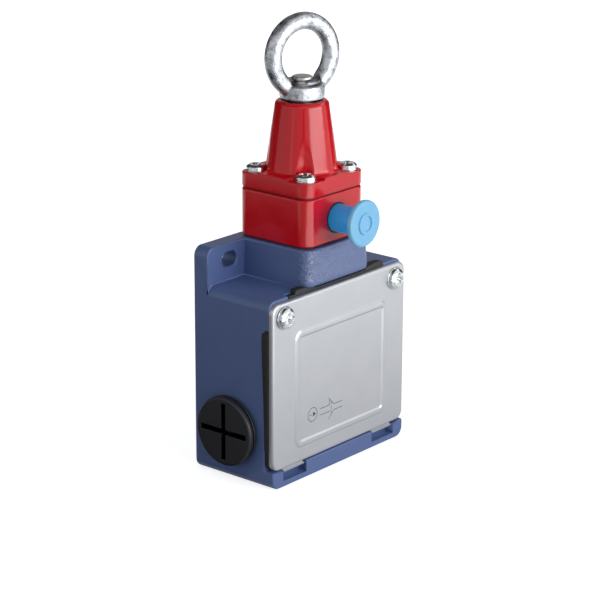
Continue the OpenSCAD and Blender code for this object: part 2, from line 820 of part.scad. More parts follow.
// Guide of the latch: sleeve with an inner flange and a closed outer end
module latch_guide() {
    end_t = 1;
    color("#c9a85c") seat() translate([0, -guide_seat, knob_z]) rotate([90, 0, 0]) difference() {
        union() {
            translate([0, 0, -guide_flange_t]) cylinder(d = guide_flange_d, h = guide_flange_t);
            translate([0, 0, -0.01]) cylinder(d = guide_d, h = guide_end - guide_seat);
        }
        translate([0, 0, -guide_flange_t - 1])
            cylinder(d = bolt_d + 2 * run_gap, h = guide_end - guide_seat + guide_flange_t + 1 - end_t);
        cylinder(d = rod_d + 2 * run_gap, h = guide_end);
    }
}

// Latch bolt: tip that drops under the shaft's flange, and the knob's rod
module latch_bolt() {
    tip_c = 0.8;
    head_l = bolt_shoulder - bolt_tip;
    rod_end = knob_face - 1 - bolt_tip;
    color("#b9bbbd") seat() translate([0, -bolt_tip, knob_z]) rotate([90, 0, 0])
        turned([[0, 0], [bolt_d / 2 - tip_c, 0], [bolt_d / 2, tip_c], [bolt_d / 2, head_l],
            [rod_d / 2, head_l], [rod_d / 2, rod_end], [0, rod_end]]);
}

module latch_spring() {
    color("#9a9da0") seat() translate([0, -bolt_shoulder - 0.05, knob_z]) rotate([90, 0, 0])
        coil_spring(guide_end - 1 - bolt_shoulder - 0.1, 2, 0.5, 5, 6, 12);
}

// Contact base: moulded block with four terminal pockets and the plunger's chamber
module contact_base() {
    color("#e6e3da") seat() difference() {
        union() {
            forward(block_back, block_front) outline(contact_w, block_foot, block_roof, 1);
            on_axis(well_foot) cylinder(d = 9, h = 5);
            on_axis(block_roof - 1) cylinder(d = 9, h = neck_floor - 4.4 - block_roof + 1);
        }
        translate([-chamber_w / 2, -block_front - 1, chamber_floor])
            cube([chamber_w, block_front + 1 - head_y + 5, chamber_roof - chamber_floor]);
        on_axis(well_foot + 1.4) cylinder(d = 6, h = 6);
        on_axis(block_roof - 3) cylinder(d = plunger_d + 2 * run_gap, h = 12);
        both_sides() for (z = terminal_z) {
            translate([pocket_in, -block_front - 1, z - pocket_h / 2])
                cube([contact_w, block_front + 1 - pocket_y, pocket_h]);
            bar_y(terminal_x, z, pocket_y - 5, pocket_y + 1, 3.2 + 2 * fit_gap);
        }
        for (z = [lower_face - tongue_t - rivet_t, upper_face + rivet_t])
            translate([-pocket_in - 0.1, -head_y - 2.1, z - 0.15])
                cube([2 * pocket_in + 0.2, 4.2, tongue_t + 0.3]);
        for (s = [-1, 1]) bar_y(s * terminal_x, web_z, block_back - 1, block_front + 1, 3.4);
    }
}

// Clear cover clipped over the chamber
module contact_cover() {
    color("#d8e4ea", 0.5) seat() difference() {
        forward(block_front, block_front + 1.2)
            outline(chamber_w + 2, chamber_floor - 1.1, chamber_roof + 1.1, 1.2);
        for (z = [chamber_floor + 4, chamber_roof - 4])
            translate([-4, -block_front - 2, z - 0.4]) cube([8, 4, 0.8]);
    }
}

// Plunger: stem to the shaft's foot, carrier with two windows, and a spring peg
module contact_plunger() {
    color("#f2f0ea") seat() on_axis() difference() {
        union() {
            translate([-carrier_w / 2, -carrier_d / 2, carrier_foot])
                cube([carrier_w, carrier_d, carrier_top - carrier_foot]);
            turned([[0, carrier_top - 1], [plunger_d / 2, carrier_top - 1],
                [plunger_d / 2, plunger_top - 0.5], [plunger_d / 2 - 0.5, plunger_top], [0, plunger_top]]);
            translate([0, 0, carrier_foot - 2]) cylinder(d = 2.8, h = 3);
        }
        for (z = [lower_window, upper_window])
            translate([-carrier_w, -bridge_d / 2 - 0.3, z[0]])
                cube([2 * carrier_w, bridge_d + 0.6, z[1] - z[0]]);
    }
}

module plunger_seal() {
    color("#202124") seat() on_axis()
        tube(neck_floor - 4.2, 3.9, plunger_hole - 2 * fit_gap, plunger_d + 2 * run_gap);
}

module plunger_spring() {
    color("#9a9da0") seat() on_axis(well_foot + 1.45)
        coil_spring(carrier_foot - well_foot - 1.5, 2.1, 0.5, 5, 6, 12);
}

// Contact bridge with its bar on height 0 and its rivets on one side
module bridge(up) {
    bridge_w = 2 * rivet_x + rivet_d + 0.2;
    translate([-bridge_w / 2, -bridge_d / 2, 0]) cube([bridge_w, bridge_d, bridge_t]);
    for (s = [-1, 1])
        translate([s * rivet_x, 0, up ? bridge_t - 0.01 : -rivet_t])
            cylinder(d = rivet_d, h = rivet_t + 0.01);
}

module lower_bridge() {
    color("#c98b4b") seat() on_axis(lower_bar) bridge(false);
}

module upper_bridge() {
    color("#c98b4b") seat() on_axis(upper_bar) bridge(true);
}

// The two springs that press the bridges on their contacts
module bridge_springs() {
    color("#9a9da0") seat() for (foot = [lower_bar + bridge_t, upper_window[0]])
        on_axis(foot + touch) coil_spring(bridge_room - 2 * touch, 1.5, 0.4, 3, 6, 12);
}

// Terminal: plate under the clamp, and a tongue to the fixed contact
module terminal_plates() {
    plate_t = 1;
    plate_w = 7.4;
    color("#d0a860") seat() both_sides() for (i = [0, 1]) {
        face = i == 0 ? lower_face : upper_face;
        tongue_z = i == 0 ? face - rivet_t - tongue_t : face + rivet_t;
        difference() {
            union() {
                translate([terminal_x - plate_w / 2, -pocket_y - plate_t, terminal_z[i] - 4.2])
                    cube([plate_w, plate_t, 8.4]);
                translate([tongue_x, -head_y - 1.9, tongue_z])
                    cube([pocket_in - 0.1 - tongue_x, 3.8, tongue_t]);
                translate([pocket_in - 0.2, -pocket_y - plate_t, tongue_z])
                    cube([terminal_x - pocket_in, plate_t, tongue_t]);
                translate([rivet_x, -head_y, min(tongue_z, face)])
                    cylinder(d = rivet_d, h = rivet_t + tongue_t);
            }
            bar_y(terminal_x, terminal_z[i], pocket_y - 1, pocket_y + 2, thread_d + 0.1);
        }
    }
}

// Square clamp washers under the terminal screws
module terminal_clamps() {
    clamp_w = 6.8;
    foot_y = pocket_y + 1.2;
    color("#c8cacc") seat() both_sides() for (z = terminal_z) difference() {
        union() {
            forward(foot_y + 0.8, foot_y + 1.7) translate([terminal_x, z]) square(clamp_w, center = true);
            for (s = [-1, 1])
                forward(foot_y, foot_y + 1.7) translate([terminal_x + s * (clamp_w / 2 - 0.4), z])
                    square([0.8, clamp_w], center = true);
        }
        bar_y(terminal_x, z, pocket_y, pocket_y + 4, thread_d + 0.3);
    }
}

module terminal_screws() {
    seat_y = pocket_y + 2.95;
    color("#d4d6d8") seat() for (s = [-1, 1], i = [0, 1])
        front_screw(s * terminal_x, terminal_z[i], seat_y, 6.9, 3.2, 6, 2.2, 15 + 40 * i + 25 * s);
}

module base_screws() {
    color("#d4d6d8") seat() for (s = [-1, 1])
        front_screw(s * terminal_x, web_z, block_front, block_front - 1.7, 3, 5.4, 1.9, 30 + 20 * s);
}

module earth_screw() {
    color("#d4d6d8") seat()
        front_screw(earth_x, earth_z, back_t + earth_rise + 1.05, earth_rise + 2, turn = 40);
}

module earth_clamp() {
    y = back_t + earth_rise;
    color("#c8cacc") seat() difference() {
        forward(y, y + 1) translate([earth_x, earth_z]) square(7.4, center = true);
        bar_y(earth_x, earth_z, y - 1, y + 2, thread_d + 0.3);
    }
}

body_housing();
cover_plate();
cover_gasket();
cover_screws();
cable_plug_left();
cable_plug_right();
plug_seals();
head_block();
block_gasket();
head_cap();
cap_gasket();
head_screws();
guide_bush();
lower_bush();
shaft_wiper();
pull_shaft();
retaining_clip();
return_spring();
pull_eye();
reset_knob();
knob_seal();
latch_guide();
latch_bolt();
latch_spring();
contact_base();
contact_cover();
contact_plunger();
plunger_seal();
plunger_spring();
upper_bridge();
lower_bridge();
bridge_springs();
terminal_plates();
terminal_clamps();
terminal_screws();
base_screws();
earth_screw();
earth_clamp();
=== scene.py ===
import json
import math

import bmesh
import bpy
from mathutils import Matrix, Vector


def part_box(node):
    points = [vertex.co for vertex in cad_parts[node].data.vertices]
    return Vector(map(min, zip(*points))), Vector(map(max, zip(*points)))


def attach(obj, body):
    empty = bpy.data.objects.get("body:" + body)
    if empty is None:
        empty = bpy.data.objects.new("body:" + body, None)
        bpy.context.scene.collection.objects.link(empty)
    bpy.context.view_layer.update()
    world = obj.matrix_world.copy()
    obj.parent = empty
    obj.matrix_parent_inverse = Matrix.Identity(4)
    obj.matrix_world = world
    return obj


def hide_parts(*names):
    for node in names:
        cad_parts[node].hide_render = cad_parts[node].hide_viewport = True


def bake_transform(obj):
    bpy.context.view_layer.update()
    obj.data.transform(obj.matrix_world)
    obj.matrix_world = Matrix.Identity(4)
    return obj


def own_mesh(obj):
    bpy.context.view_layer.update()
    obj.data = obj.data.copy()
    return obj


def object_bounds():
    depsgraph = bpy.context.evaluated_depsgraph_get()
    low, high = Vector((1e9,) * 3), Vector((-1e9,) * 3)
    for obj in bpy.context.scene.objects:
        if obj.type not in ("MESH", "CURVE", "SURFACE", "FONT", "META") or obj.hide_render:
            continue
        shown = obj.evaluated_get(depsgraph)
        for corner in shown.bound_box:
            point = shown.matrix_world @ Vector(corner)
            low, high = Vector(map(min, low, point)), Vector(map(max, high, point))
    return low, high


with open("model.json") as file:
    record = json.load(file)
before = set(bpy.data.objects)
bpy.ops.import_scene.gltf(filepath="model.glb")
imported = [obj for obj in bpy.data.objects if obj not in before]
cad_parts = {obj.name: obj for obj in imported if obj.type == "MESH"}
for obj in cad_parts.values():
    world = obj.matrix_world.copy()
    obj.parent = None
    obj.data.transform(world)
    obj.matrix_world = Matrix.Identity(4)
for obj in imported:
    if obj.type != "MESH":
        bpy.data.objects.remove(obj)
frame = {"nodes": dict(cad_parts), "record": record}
nodes = frame["nodes"]
cadLow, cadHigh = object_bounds()
mm = 0.001
foot = cadLow.z / mm  # the body's foot, from which heights are counted, as on a drawing
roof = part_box("block_gasket")[0].z / mm - foot  # top of the neck and of the fixing ear
print("frame loaded:", len(nodes), "nodes")


def linear(hexText):
    channels = [int(hexText[i:i + 2], 16) / 255 for i in (1, 3, 5)]
    return [c / 12.92 if c <= 0.04045 else ((c + 0.055) / 1.055) ** 2.4 for c in channels] + [1.0]


def perMm(size):
    return 1 / (size * mm)  # noise scale whose blobs are about size mm wide


def addNode(tree, kind, settings=None, links=None):
    made = tree.nodes.new(kind)
    for key, value in (settings or {}).items():
        if isinstance(key, int) or key in made.inputs.keys():
            made.inputs[key].default_value = value
        else:
            setattr(made, key, value)
    for key, source in (links or {}).items():
        tree.links.new(source if hasattr(source, "is_linked") else source.outputs[0], made.inputs[key])
    return made


def linkObject(name, mesh):
    made = bpy.data.objects.new(name, mesh)
    bpy.context.scene.collection.objects.link(made)
    return made


def bodyOf(nodeName):
    for body, members in frame["record"]["behaviour"]["bodies"].items():
        if nodeName in members:
            return body


def newMaterial(name, base, roughness, metallic=0.0, **shaderInputs):
    made = bpy.data.materials.new(name)
    made.use_nodes = True
    tree = made.node_tree
    tree.nodes.clear()
    shader = addNode(tree, "ShaderNodeBsdfPrincipled", {
        "Base Color": linear(base), "Roughness": roughness, "Metallic": metallic, **shaderInputs})
    addNode(tree, "ShaderNodeOutputMaterial", None, {"Surface": shader})
    return made, tree, shader, addNode(tree, "ShaderNodeTexCoord").outputs["Object"]


def dress(tree, shader, color=None, roughness=None, normal=None):
    # color, roughness and normal: the nodes that give the shader its varying parts
    for label, source in (("Base Color", color), ("Roughness", roughness), ("Normal", normal)):
        if source:
            tree.links.new(source.outputs[2 if label == "Base Color" else 0], shader.inputs[label])


def blueEnamel():
    # stoved enamel over a die-cast housing: a satin skin with faint orange peel, and on the neck's
    # front the flow ridges of the casting, which catch the light as short bright strokes
    made, tree, shader, place = newMaterial("stovedBlueEnamelOnDieCasting", "#596fa3", 0.38)
    clouds = addNode(tree, "ShaderNodeTexNoise", {"Scale": perMm(6), "Detail": 3}, {"Vector": place})
    peel = addNode(tree, "ShaderNodeTexNoise", {"Scale": perMm(1.2), "Detail": 2}, {"Vector": place})
    grain = addNode(tree, "ShaderNodeTexNoise", {"Scale": perMm(0.25), "Detail": 2}, {"Vector": place})
    lying = addNode(tree, "ShaderNodeMapping", {"Scale": (1, 1, 1.5)}, {"Vector": place})
    flow = addNode(tree, "ShaderNodeTexNoise", {"Scale": perMm(1.3), "Detail": 3, "Roughness": 0.6,
                                                "Distortion": 0.4}, {"Vector": lying})
    split = addNode(tree, "ShaderNodeSeparateXYZ", None, {0: place})
    # the ridges' stretch in mm: below the neck's top, behind its front, and fading from left to right
    below, behind, acrossNeck = (11.2, 9.2), (5.2, 2.6), (-12, 16)
    neckTop, neckFront = roof + foot, -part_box("body_housing")[0].y / mm
    over = addNode(tree, "ShaderNodeMapRange",
                   {"From Min": (neckTop - below[0]) * mm, "From Max": (neckTop - below[1]) * mm},
                   {"Value": split.outputs[2]})
    front = addNode(tree, "ShaderNodeMapRange",
                    {"From Min": (behind[0] - neckFront) * mm, "From Max": (behind[1] - neckFront) * mm},
                    {"Value": split.outputs[1]})
    across = addNode(tree, "ShaderNodeMapRange", {
        "From Min": acrossNeck[0] * mm, "From Max": acrossNeck[1] * mm, "To Min": 1, "To Max": 0.35},
        {"Value": split.outputs[0]})
    ridges = addNode(tree, "ShaderNodeMapRange", {"From Min": 0.47, "From Max": 0.62}, {"Value": flow})
    rough = addNode(tree, "ShaderNodeMath", {"operation": "MULTIPLY"}, {0: over, 1: front})
    rough = addNode(tree, "ShaderNodeMath", {"operation": "MULTIPLY"}, {0: rough, 1: across})
    height = addNode(tree, "ShaderNodeMath", {"operation": "MULTIPLY"}, {0: rough, 1: ridges})
    edge = addNode(tree, "ShaderNodeBevel", {"samples": 8, "Radius": 0.35 * mm})
    peelBump = addNode(tree, "ShaderNodeBump", {"Strength": 0.4, "Distance": 0.04 * mm},
                       {"Height": peel, "Normal": edge})
    grainBump = addNode(tree, "ShaderNodeBump", {"Strength": 0.3, "Distance": 0.01 * mm},
                        {"Height": grain, "Normal": peelBump})
    flowBump = addNode(tree, "ShaderNodeBump", {"Strength": 0.75, "Distance": 0.22 * mm},
                       {"Height": height, "Normal": grainBump})
    shader.inputs["Coat Roughness"].default_value = 0.22  # the enamel pools wet between the ridges
    tree.links.new(rough.outputs[0], shader.inputs["Coat Weight"])
    tree.links.new(flowBump.outputs[0], shader.inputs["Coat Normal"])
    tones = addNode(tree, "ShaderNodeMix", {"data_type": "RGBA", 6: linear("#566b9e"), 7: linear("#5c73a8")},
                    {0: clouds})
    shine = addNode(tree, "ShaderNodeMapRange", {"To Min": 0.34, "To Max": 0.46}, {"Value": grain})
    dress(tree, shader, tones, shine, flowBump)
    return made


def redEnamel():
    # gloss enamel over a die casting: wet looking, so that neighbours mirror in it, on long shallow waves
    made, tree, shader, place = newMaterial("glossRedEnamelOnDieCasting", "#e0041a", 0.16)
    clouds = addNode(tree, "ShaderNodeTexNoise", {"Scale": perMm(7), "Detail": 2}, {"Vector": place})
    wave = addNode(tree, "ShaderNodeTexNoise", {"Scale": perMm(4.5), "Detail": 1}, {"Vector": place})
    peel = addNode(tree, "ShaderNodeTexNoise", {"Scale": perMm(0.9), "Detail": 1}, {"Vector": place})
    edge = addNode(tree, "ShaderNodeBevel", {"samples": 8, "Radius": 0.3 * mm})
    waveBump = addNode(tree, "ShaderNodeBump", {"Strength": 0.25, "Distance": 0.06 * mm},
                       {"Height": wave, "Normal": edge})
    peelBump = addNode(tree, "ShaderNodeBump", {"Strength": 0.12, "Distance": 0.01 * mm},
                       {"Height": peel, "Normal": waveBump})
    tones = addNode(tree, "ShaderNodeMix", {"data_type": "RGBA", 6: linear("#dc0219"), 7: linear("#e6061d")},
                    {0: clouds})
    shine = addNode(tree, "ShaderNodeMapRange", {"To Min": 0.12, "To Max": 0.2}, {"Value": clouds})
    dress(tree, shader, tones, shine, peelBump)
    return made


def satinSteelSheet():
    # pressed stainless sheet, bead blasted: an even soft shine without a brush direction
    made, tree, shader, place = newMaterial("beadBlastedStainlessSheet", "#c0c2c6", 0.4, 0.7)
    clouds = addNode(tree, "ShaderNodeTexNoise", {"Scale": perMm(9), "Detail": 3}, {"Vector": place})
    grit = addNode(tree, "ShaderNodeTexNoise", {"Scale": perMm(0.18), "Detail": 2}, {"Vector": place})
    edge = addNode(tree, "ShaderNodeBevel", {"samples": 6, "Radius": 0.15 * mm})
    gritBump = addNode(tree, "ShaderNodeBump", {"Strength": 0.3, "Distance": 0.01 * mm},
                       {"Height": grit, "Normal": edge})
    tones = addNode(tree, "ShaderNodeMix", {"data_type": "RGBA", 6: linear("#babdc2"), 7: linear("#c5c7cc")},
                    {0: clouds})
    shine = addNode(tree, "ShaderNodeMapRange", {"To Min": 0.34, "To Max": 0.44}, {"Value": grit})
    dress(tree, shader, tones, shine, gritBump)
    return made


def galvanisedForging():
    # drop forged and hot galvanised: satin zinc, finely speckled, greyer in patches where it has run thin
    made, tree, shader, place = newMaterial("hotGalvanisedForging", "#c2c7cc", 0.38, 1.0)
    specks = addNode(tree, "ShaderNodeTexNoise", {"Scale": perMm(0.42), "Detail": 4, "Roughness": 0.7},
                     {"Vector": place})
    patches = addNode(tree, "ShaderNodeTexNoise", {"Scale": perMm(2.2), "Detail": 4, "Roughness": 0.6},
                      {"Vector": place})
    sand = addNode(tree, "ShaderNodeTexNoise", {"Scale": perMm(0.2), "Detail": 3}, {"Vector": place})
    both = addNode(tree, "ShaderNodeMath", {"operation": "MULTIPLY_ADD", 1: 0.8}, {0: patches, 2: specks})
    dull = addNode(tree, "ShaderNodeMapRange", {"From Min": 0.98, "From Max": 0.7}, {"Value": both})
    tones = addNode(tree, "ShaderNodeMix", {"data_type": "RGBA", 6: linear("#c9cdd3"), 7: linear("#777c83")},
                    {0: dull})
    shine = addNode(tree, "ShaderNodeMapRange",
                    {"From Min": 0.35, "From Max": 0.65, "To Min": 0.24, "To Max": 0.4}, {"Value": patches})
    speckBump = addNode(tree, "ShaderNodeBump", {"Strength": 0.9, "Distance": 0.1 * mm}, {"Height": specks})
    sandBump = addNode(tree, "ShaderNodeBump", {"Strength": 0.5, "Distance": 0.03 * mm},
                       {"Height": sand, "Normal": speckBump})
    dress(tree, shader, tones, shine, sandBump)
    return made


def zincPlatedSteel():
    # bright zinc plate with a clear blue passivation: a mirror with a cold, patchy film on it
    made, tree, shader, place = newMaterial("brightZincPlatedSteel", "#d9dee2", 0.16, 1.0)
    film = addNode(tree, "ShaderNodeTexNoise", {"Scale": perMm(1.4), "Detail": 2}, {"Vector": place})
    wear = addNode(tree, "ShaderNodeTexNoise", {"Scale": perMm(0.5), "Detail": 3}, {"Vector": place})
    edge = addNode(tree, "ShaderNodeBevel", {"samples": 6, "Radius": 0.1 * mm})
    filmBump = addNode(tree, "ShaderNodeBump", {"Strength": 0.25, "Distance": 0.02 * mm},
                       {"Height": wear, "Normal": edge})
    tones = addNode(tree, "ShaderNodeMix", {"data_type": "RGBA", 6: linear("#cbd6dc"), 7: linear("#dedfdc")},
                    {0: film})
    # painted shade: the colour darkens to dark grey where the surface is enclosed, as in the cross recess
    hollow = addNode(tree, "ShaderNodeAmbientOcclusion", {"samples": 8, "Distance": 0.9 * mm})
    recessShade = addNode(tree, "ShaderNodeMapRange", {"From Min": 0.3, "From Max": 0.7},
                    {"Value": hollow.outputs["AO"]})
    tones = addNode(tree, "ShaderNodeMix", {"data_type": "RGBA", 6: linear("#43474b")},
                    {0: recessShade, 7: tones.outputs[2]})
    shine = addNode(tree, "ShaderNodeMapRange", {"To Min": 0.1, "To Max": 0.24}, {"Value": wear})
    dress(tree, shader, tones, shine, filmBump)
    return made


def groundSteel():
    # turned and ground steel: warm grey, fine rings round the shaft's axis
    made, tree, shader, place = newMaterial("turnedAndGroundSteel", "#bdb9b1", 0.3, 1.0)
    flat = addNode(tree, "ShaderNodeMapping", {"Scale": (0.15, 0.15, 4)}, {"Vector": place})
    rings = addNode(tree, "ShaderNodeTexNoise", {"Scale": perMm(0.5), "Detail": 2}, {"Vector": flat})
    tarnish = addNode(tree, "ShaderNodeTexNoise", {"Scale": perMm(1.8), "Detail": 3}, {"Vector": place})
    edge = addNode(tree, "ShaderNodeBevel", {"samples": 6, "Radius": 0.1 * mm})
    ringBump = addNode(tree, "ShaderNodeBump", {"Strength": 0.4, "Distance": 0.02 * mm},
                       {"Height": rings, "Normal": edge})
    tones = addNode(tree, "ShaderNodeMix", {"data_type": "RGBA", 6: linear("#b0aeaa"), 7: linear("#cccac6")},
                    {0: tarnish})
    shine = addNode(tree, "ShaderNodeMapRange", {"To Min": 0.24, "To Max": 0.4}, {"Value": rings})
    dress(tree, shader, tones, shine, ringBump)
    return made


def springSteel():
    # drawn spring wire: dark grey from its tempering, with an oily gleam along the draw lines
    made, tree, shader, place = newMaterial("drawnSpringSteel", "#85878a", 0.34, 1.0)
    oil = addNode(tree, "ShaderNodeTexNoise", {"Scale": perMm(1.2), "Detail": 3}, {"Vector": place})
    draw = addNode(tree, "ShaderNodeTexNoise", {"Scale": perMm(0.4), "Detail": 3}, {"Vector": place})
    tones = addNode(tree, "ShaderNodeMix", {"data_type": "RGBA", 6: linear("#6f7174"), 7: linear("#96989a")},
                    {0: oil})
    shine = addNode(tree, "ShaderNodeMapRange", {"To Min": 0.26, "To Max": 0.44}, {"Value": draw})
    dress(tree, shader, tones, shine)
    return made


def blackPolyamide():
    # glass filled polyamide from a spark eroded mould: satin black with an even fine grain
    made, tree, shader, place = newMaterial("glassFilledPolyamide", "#26272b", 0.42)
    clouds = addNode(tree, "ShaderNodeTexNoise", {"Scale": perMm(4), "Detail": 2}, {"Vector": place})
    grain = addNode(tree, "ShaderNodeTexNoise", {"Scale": perMm(0.25), "Detail": 3}, {"Vector": place})
    edge = addNode(tree, "ShaderNodeBevel", {"samples": 6, "Radius": 0.15 * mm})
    grainBump = addNode(tree, "ShaderNodeBump", {"Strength": 0.4, "Distance": 0.015 * mm},
                        {"Height": grain, "Normal": edge})
    tones = addNode(tree, "ShaderNodeMix", {"data_type": "RGBA", 6: linear("#28292f"), 7: linear("#303137")},
                    {0: clouds})
    shine = addNode(tree, "ShaderNodeMapRange", {"To Min": 0.36, "To Max": 0.48}, {"Value": grain})
    # painted shade: the slots are darkened to near black and their shine taken away, the more deeply they are
    # enclosed
    openness = addNode(tree, "ShaderNodeAmbientOcclusion",
                       {"samples": 8, "only_local": True, "Distance": 2.5 * mm})
    deep = addNode(tree, "ShaderNodeMapRange", {"From Min": 0.55, "From Max": 0.85},
                   {"Value": openness.outputs["AO"]})
    tones = addNode(tree, "ShaderNodeMix", {"data_type": "RGBA", 6: linear("#020203")},
                    {0: deep, 7: tones.outputs[2]})
    slotShadeGleam = addNode(tree, "ShaderNodeMath", {"operation": "MULTIPLY", 1: 0.5}, {0: deep})
    tree.links.new(slotShadeGleam.outputs[0], shader.inputs["Specular IOR Level"])
    dress(tree, shader, tones, shine, grainBump)
    return made


def nitrileRubber():
    # moulded nitrile rubber: dull black with a dusty bloom in patches
    made, tree, shader, place = newMaterial("nitrileRubber", "#17181a", 0.62)
    bloom = addNode(tree, "ShaderNodeTexNoise", {"Scale": perMm(1.6), "Detail": 4}, {"Vector": place})
    skin = addNode(tree, "ShaderNodeTexNoise", {"Scale": perMm(0.3), "Detail": 2}, {"Vector": place})
    skinBump = addNode(tree, "ShaderNodeBump", {"Strength": 0.4, "Distance": 0.03 * mm}, {"Height": skin})
    tones = addNode(tree, "ShaderNodeMix", {"data_type": "RGBA", 6: linear("#101113"), 7: linear("#1f2023")},
                    {0: bloom})
    shine = addNode(tree, "ShaderNodeMapRange", {"To Min": 0.55, "To Max": 0.72}, {"Value": bloom})
    dress(tree, shader, tones, shine, skinBump)
    return made


def bluePlastic():
    # moulded sky blue plastic, painted lit and shaded: pale on the disc as if lit, a deep painted shade tone
    # down the stem, and there a faint glow, painted light that stands in for the light that soaks through the
    # disc in front of it
    made, tree, shader, place = newMaterial("skyBlueAbs", "#8bd2fe", 0.34, **{
        "Subsurface Weight": 0.15, "Subsurface Scale": 0.001, "Subsurface Radius": (0.12, 0.55, 1.0),
        "Coat Weight": 0.3, "Coat Roughness": 0.3, "Emission Color": (0.0, 0.46, 1.0, 1)})
    stemShade = (2.2, 4)  # the painted shade tone and the painted glow begin and are full this far behind the disc's face, in mm
    clouds = addNode(tree, "ShaderNodeTexNoise", {"Scale": perMm(5), "Detail": 2}, {"Vector": place})
    skin = addNode(tree, "ShaderNodeTexNoise", {"Scale": perMm(0.5), "Detail": 2}, {"Vector": place})
    edge = addNode(tree, "ShaderNodeBevel", {"samples": 6, "Radius": 0.2 * mm})
    skinBump = addNode(tree, "ShaderNodeBump", {"Strength": 0.3, "Distance": 0.012 * mm},
                       {"Height": skin, "Normal": edge})
    split = addNode(tree, "ShaderNodeSeparateXYZ", None, {0: place})
    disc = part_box("reset_knob")[0].y
    deep = addNode(tree, "ShaderNodeMapRange",
                   {"From Min": disc + stemShade[0] * mm, "From Max": disc + stemShade[1] * mm},
                   {"Value": split.outputs[1]})
    # painted light: the stem glows faintly behind the disc
    glow = addNode(tree, "ShaderNodeMath", {"operation": "MULTIPLY", 1: 0.16}, {0: deep})
    tree.links.new(glow.outputs[0], shader.inputs["Emission Strength"])
    tones = addNode(tree, "ShaderNodeMix", {"data_type": "RGBA", 6: linear("#80cdfd"), 7: linear("#8cd4ff")},
                    {0: clouds})
    # painted shade: the tone deepens down the stem
    tones = addNode(tree, "ShaderNodeMix", {"data_type": "RGBA", 7: linear("#14a4f4")},
                    {0: deep, 6: tones.outputs[2]})
    shine = addNode(tree, "ShaderNodeMapRange", {"To Min": 0.36, "To Max": 0.46}, {"Value": skin})
    dress(tree, shader, tones, shine, skinBump)
    return made


def screenInk():
    # screen printed ink: dark grey, matt, a little thin in places
    made, tree, shader, place = newMaterial("screenPrintedInk", "#33353b", 0.6)
    cover = addNode(tree, "ShaderNodeTexNoise", {"Scale": perMm(0.5), "Detail": 3}, {"Vector": place})
    tones = addNode(tree, "ShaderNodeMix", {"data_type": "RGBA", 6: linear("#2b2d33"), 7: linear("#4a4c52")},
                    {0: cover})
    dress(tree, shader, tones)
    return made


def innerFinish(name, dark, light, roughness, metallic, size, **shaderInputs):
    # pieces inside the box: two close tones in clouds and a fine skin of the given size in mm
    made, tree, shader, place = newMaterial(name, dark, roughness, metallic, **shaderInputs)
    clouds = addNode(tree, "ShaderNodeTexNoise", {"Scale": perMm(size * 6), "Detail": 3}, {"Vector": place})
    skin = addNode(tree, "ShaderNodeTexNoise", {"Scale": perMm(size), "Detail": 2}, {"Vector": place})
    edge = addNode(tree, "ShaderNodeBevel", {"samples": 6, "Radius": 0.12 * mm})
    skinBump = addNode(tree, "ShaderNodeBump", {"Strength": 0.35, "Distance": 0.015 * mm},
                       {"Height": skin, "Normal": edge})
    tones = addNode(tree, "ShaderNodeMix", {"data_type": "RGBA", 6: linear(dark), 7: linear(light)},
                    {0: clouds})
    shine = addNode(tree, "ShaderNodeMapRange", {"To Min": roughness * 0.85, "To Max": roughness * 1.15},
                    {"Value": skin})
    dress(tree, shader, tones, shine, skinBump)
    return made


finishes = {
    "housing_enamel": blueEnamel(),
    "red_enamel": redEnamel(),
    "cover_sheet": satinSteelSheet(),
    "galvanised_steel": galvanisedForging(),
    "zinc_plated_steel": zincPlatedSteel(),
    "bright_steel": groundSteel(),
    "spring_steel": springSteel(),
    "black_polyamide": blackPolyamide(),
    "black_rubber": nitrileRubber(),
    "blue_plastic": bluePlastic(),
    # sintered bronze: porous, so a broad dull gleam, brown like old coins
    "bronze": innerFinish("sinteredBronze", "#a67c45", "#b58b52", 0.4, 1.0, 0.3),
    # natural acetal: milky white with a soapy sheen
    "white_acetal": innerFinish("naturalAcetal", "#e4e1d4", "#eceadf", 0.35, 0.0, 0.5),
    # mineral filled thermoset: ivory, with faint flow clouds and no depth
    "ivory_thermoset": innerFinish("mineralFilledThermoset", "#d2cbb8", "#ddd7c6", 0.5, 0.0, 0.4),
    # clear polycarbonate: shows the contacts through it, bright at its edges
    "clear_polycarbonate": innerFinish("clearPolycarbonate", "#e6eef1", "#eef4f6", 0.1, 0.0, 0.6,
                                       **{"Transmission Weight": 0.9, "IOR": 1.58}),
    # bare copper alloy: warm red metal, a little tarnished
    "copper_alloy": innerFinish("bareCopperAlloy", "#b97a4c", "#c98a5a", 0.3, 1.0, 0.3),
    # pressed brass: yellow metal with the soft shine of the rolled sheet
    "terminal_brass": innerFinish("pressedBrass", "#bd964b", "#cda659", 0.3, 1.0, 0.3),
}
for row in frame["record"]["subparts"]:
    mesh = nodes[row["node"]].data
    mesh.materials.clear()
    mesh.materials.append(finishes[row["material_slot"]])
print("finishes:", len(finishes))


def softProfile(corners, steps=4):
    # (radius, height, fillet) corners in mm; a corner with a fillet becomes an arc
    made = []
    for i, corner in enumerate(corners):
        here = Vector(corner[:2])
        if len(corner) < 3:
            made.append(here)
            continue
        toBefore = (Vector(corners[i - 1][:2]) - here).normalized()
        toAfter = (Vector(corners[i + 1][:2]) - here).normalized()
        half = toBefore.angle(toAfter) / 2
        middle = here + (toBefore + toAfter).normalized() * corner[2] / math.sin(half)
        first = here + toBefore * corner[2] / math.tan(half) - middle
        last = here + toAfter * corner[2] / math.tan(half) - middle
        turn = first.angle(last)
        for k in range(steps + 1):
            made.append(middle + (first * math.sin((1 - k / steps) * turn)
                                  + last * math.sin(k / steps * turn)) / math.sin(turn))
    return made


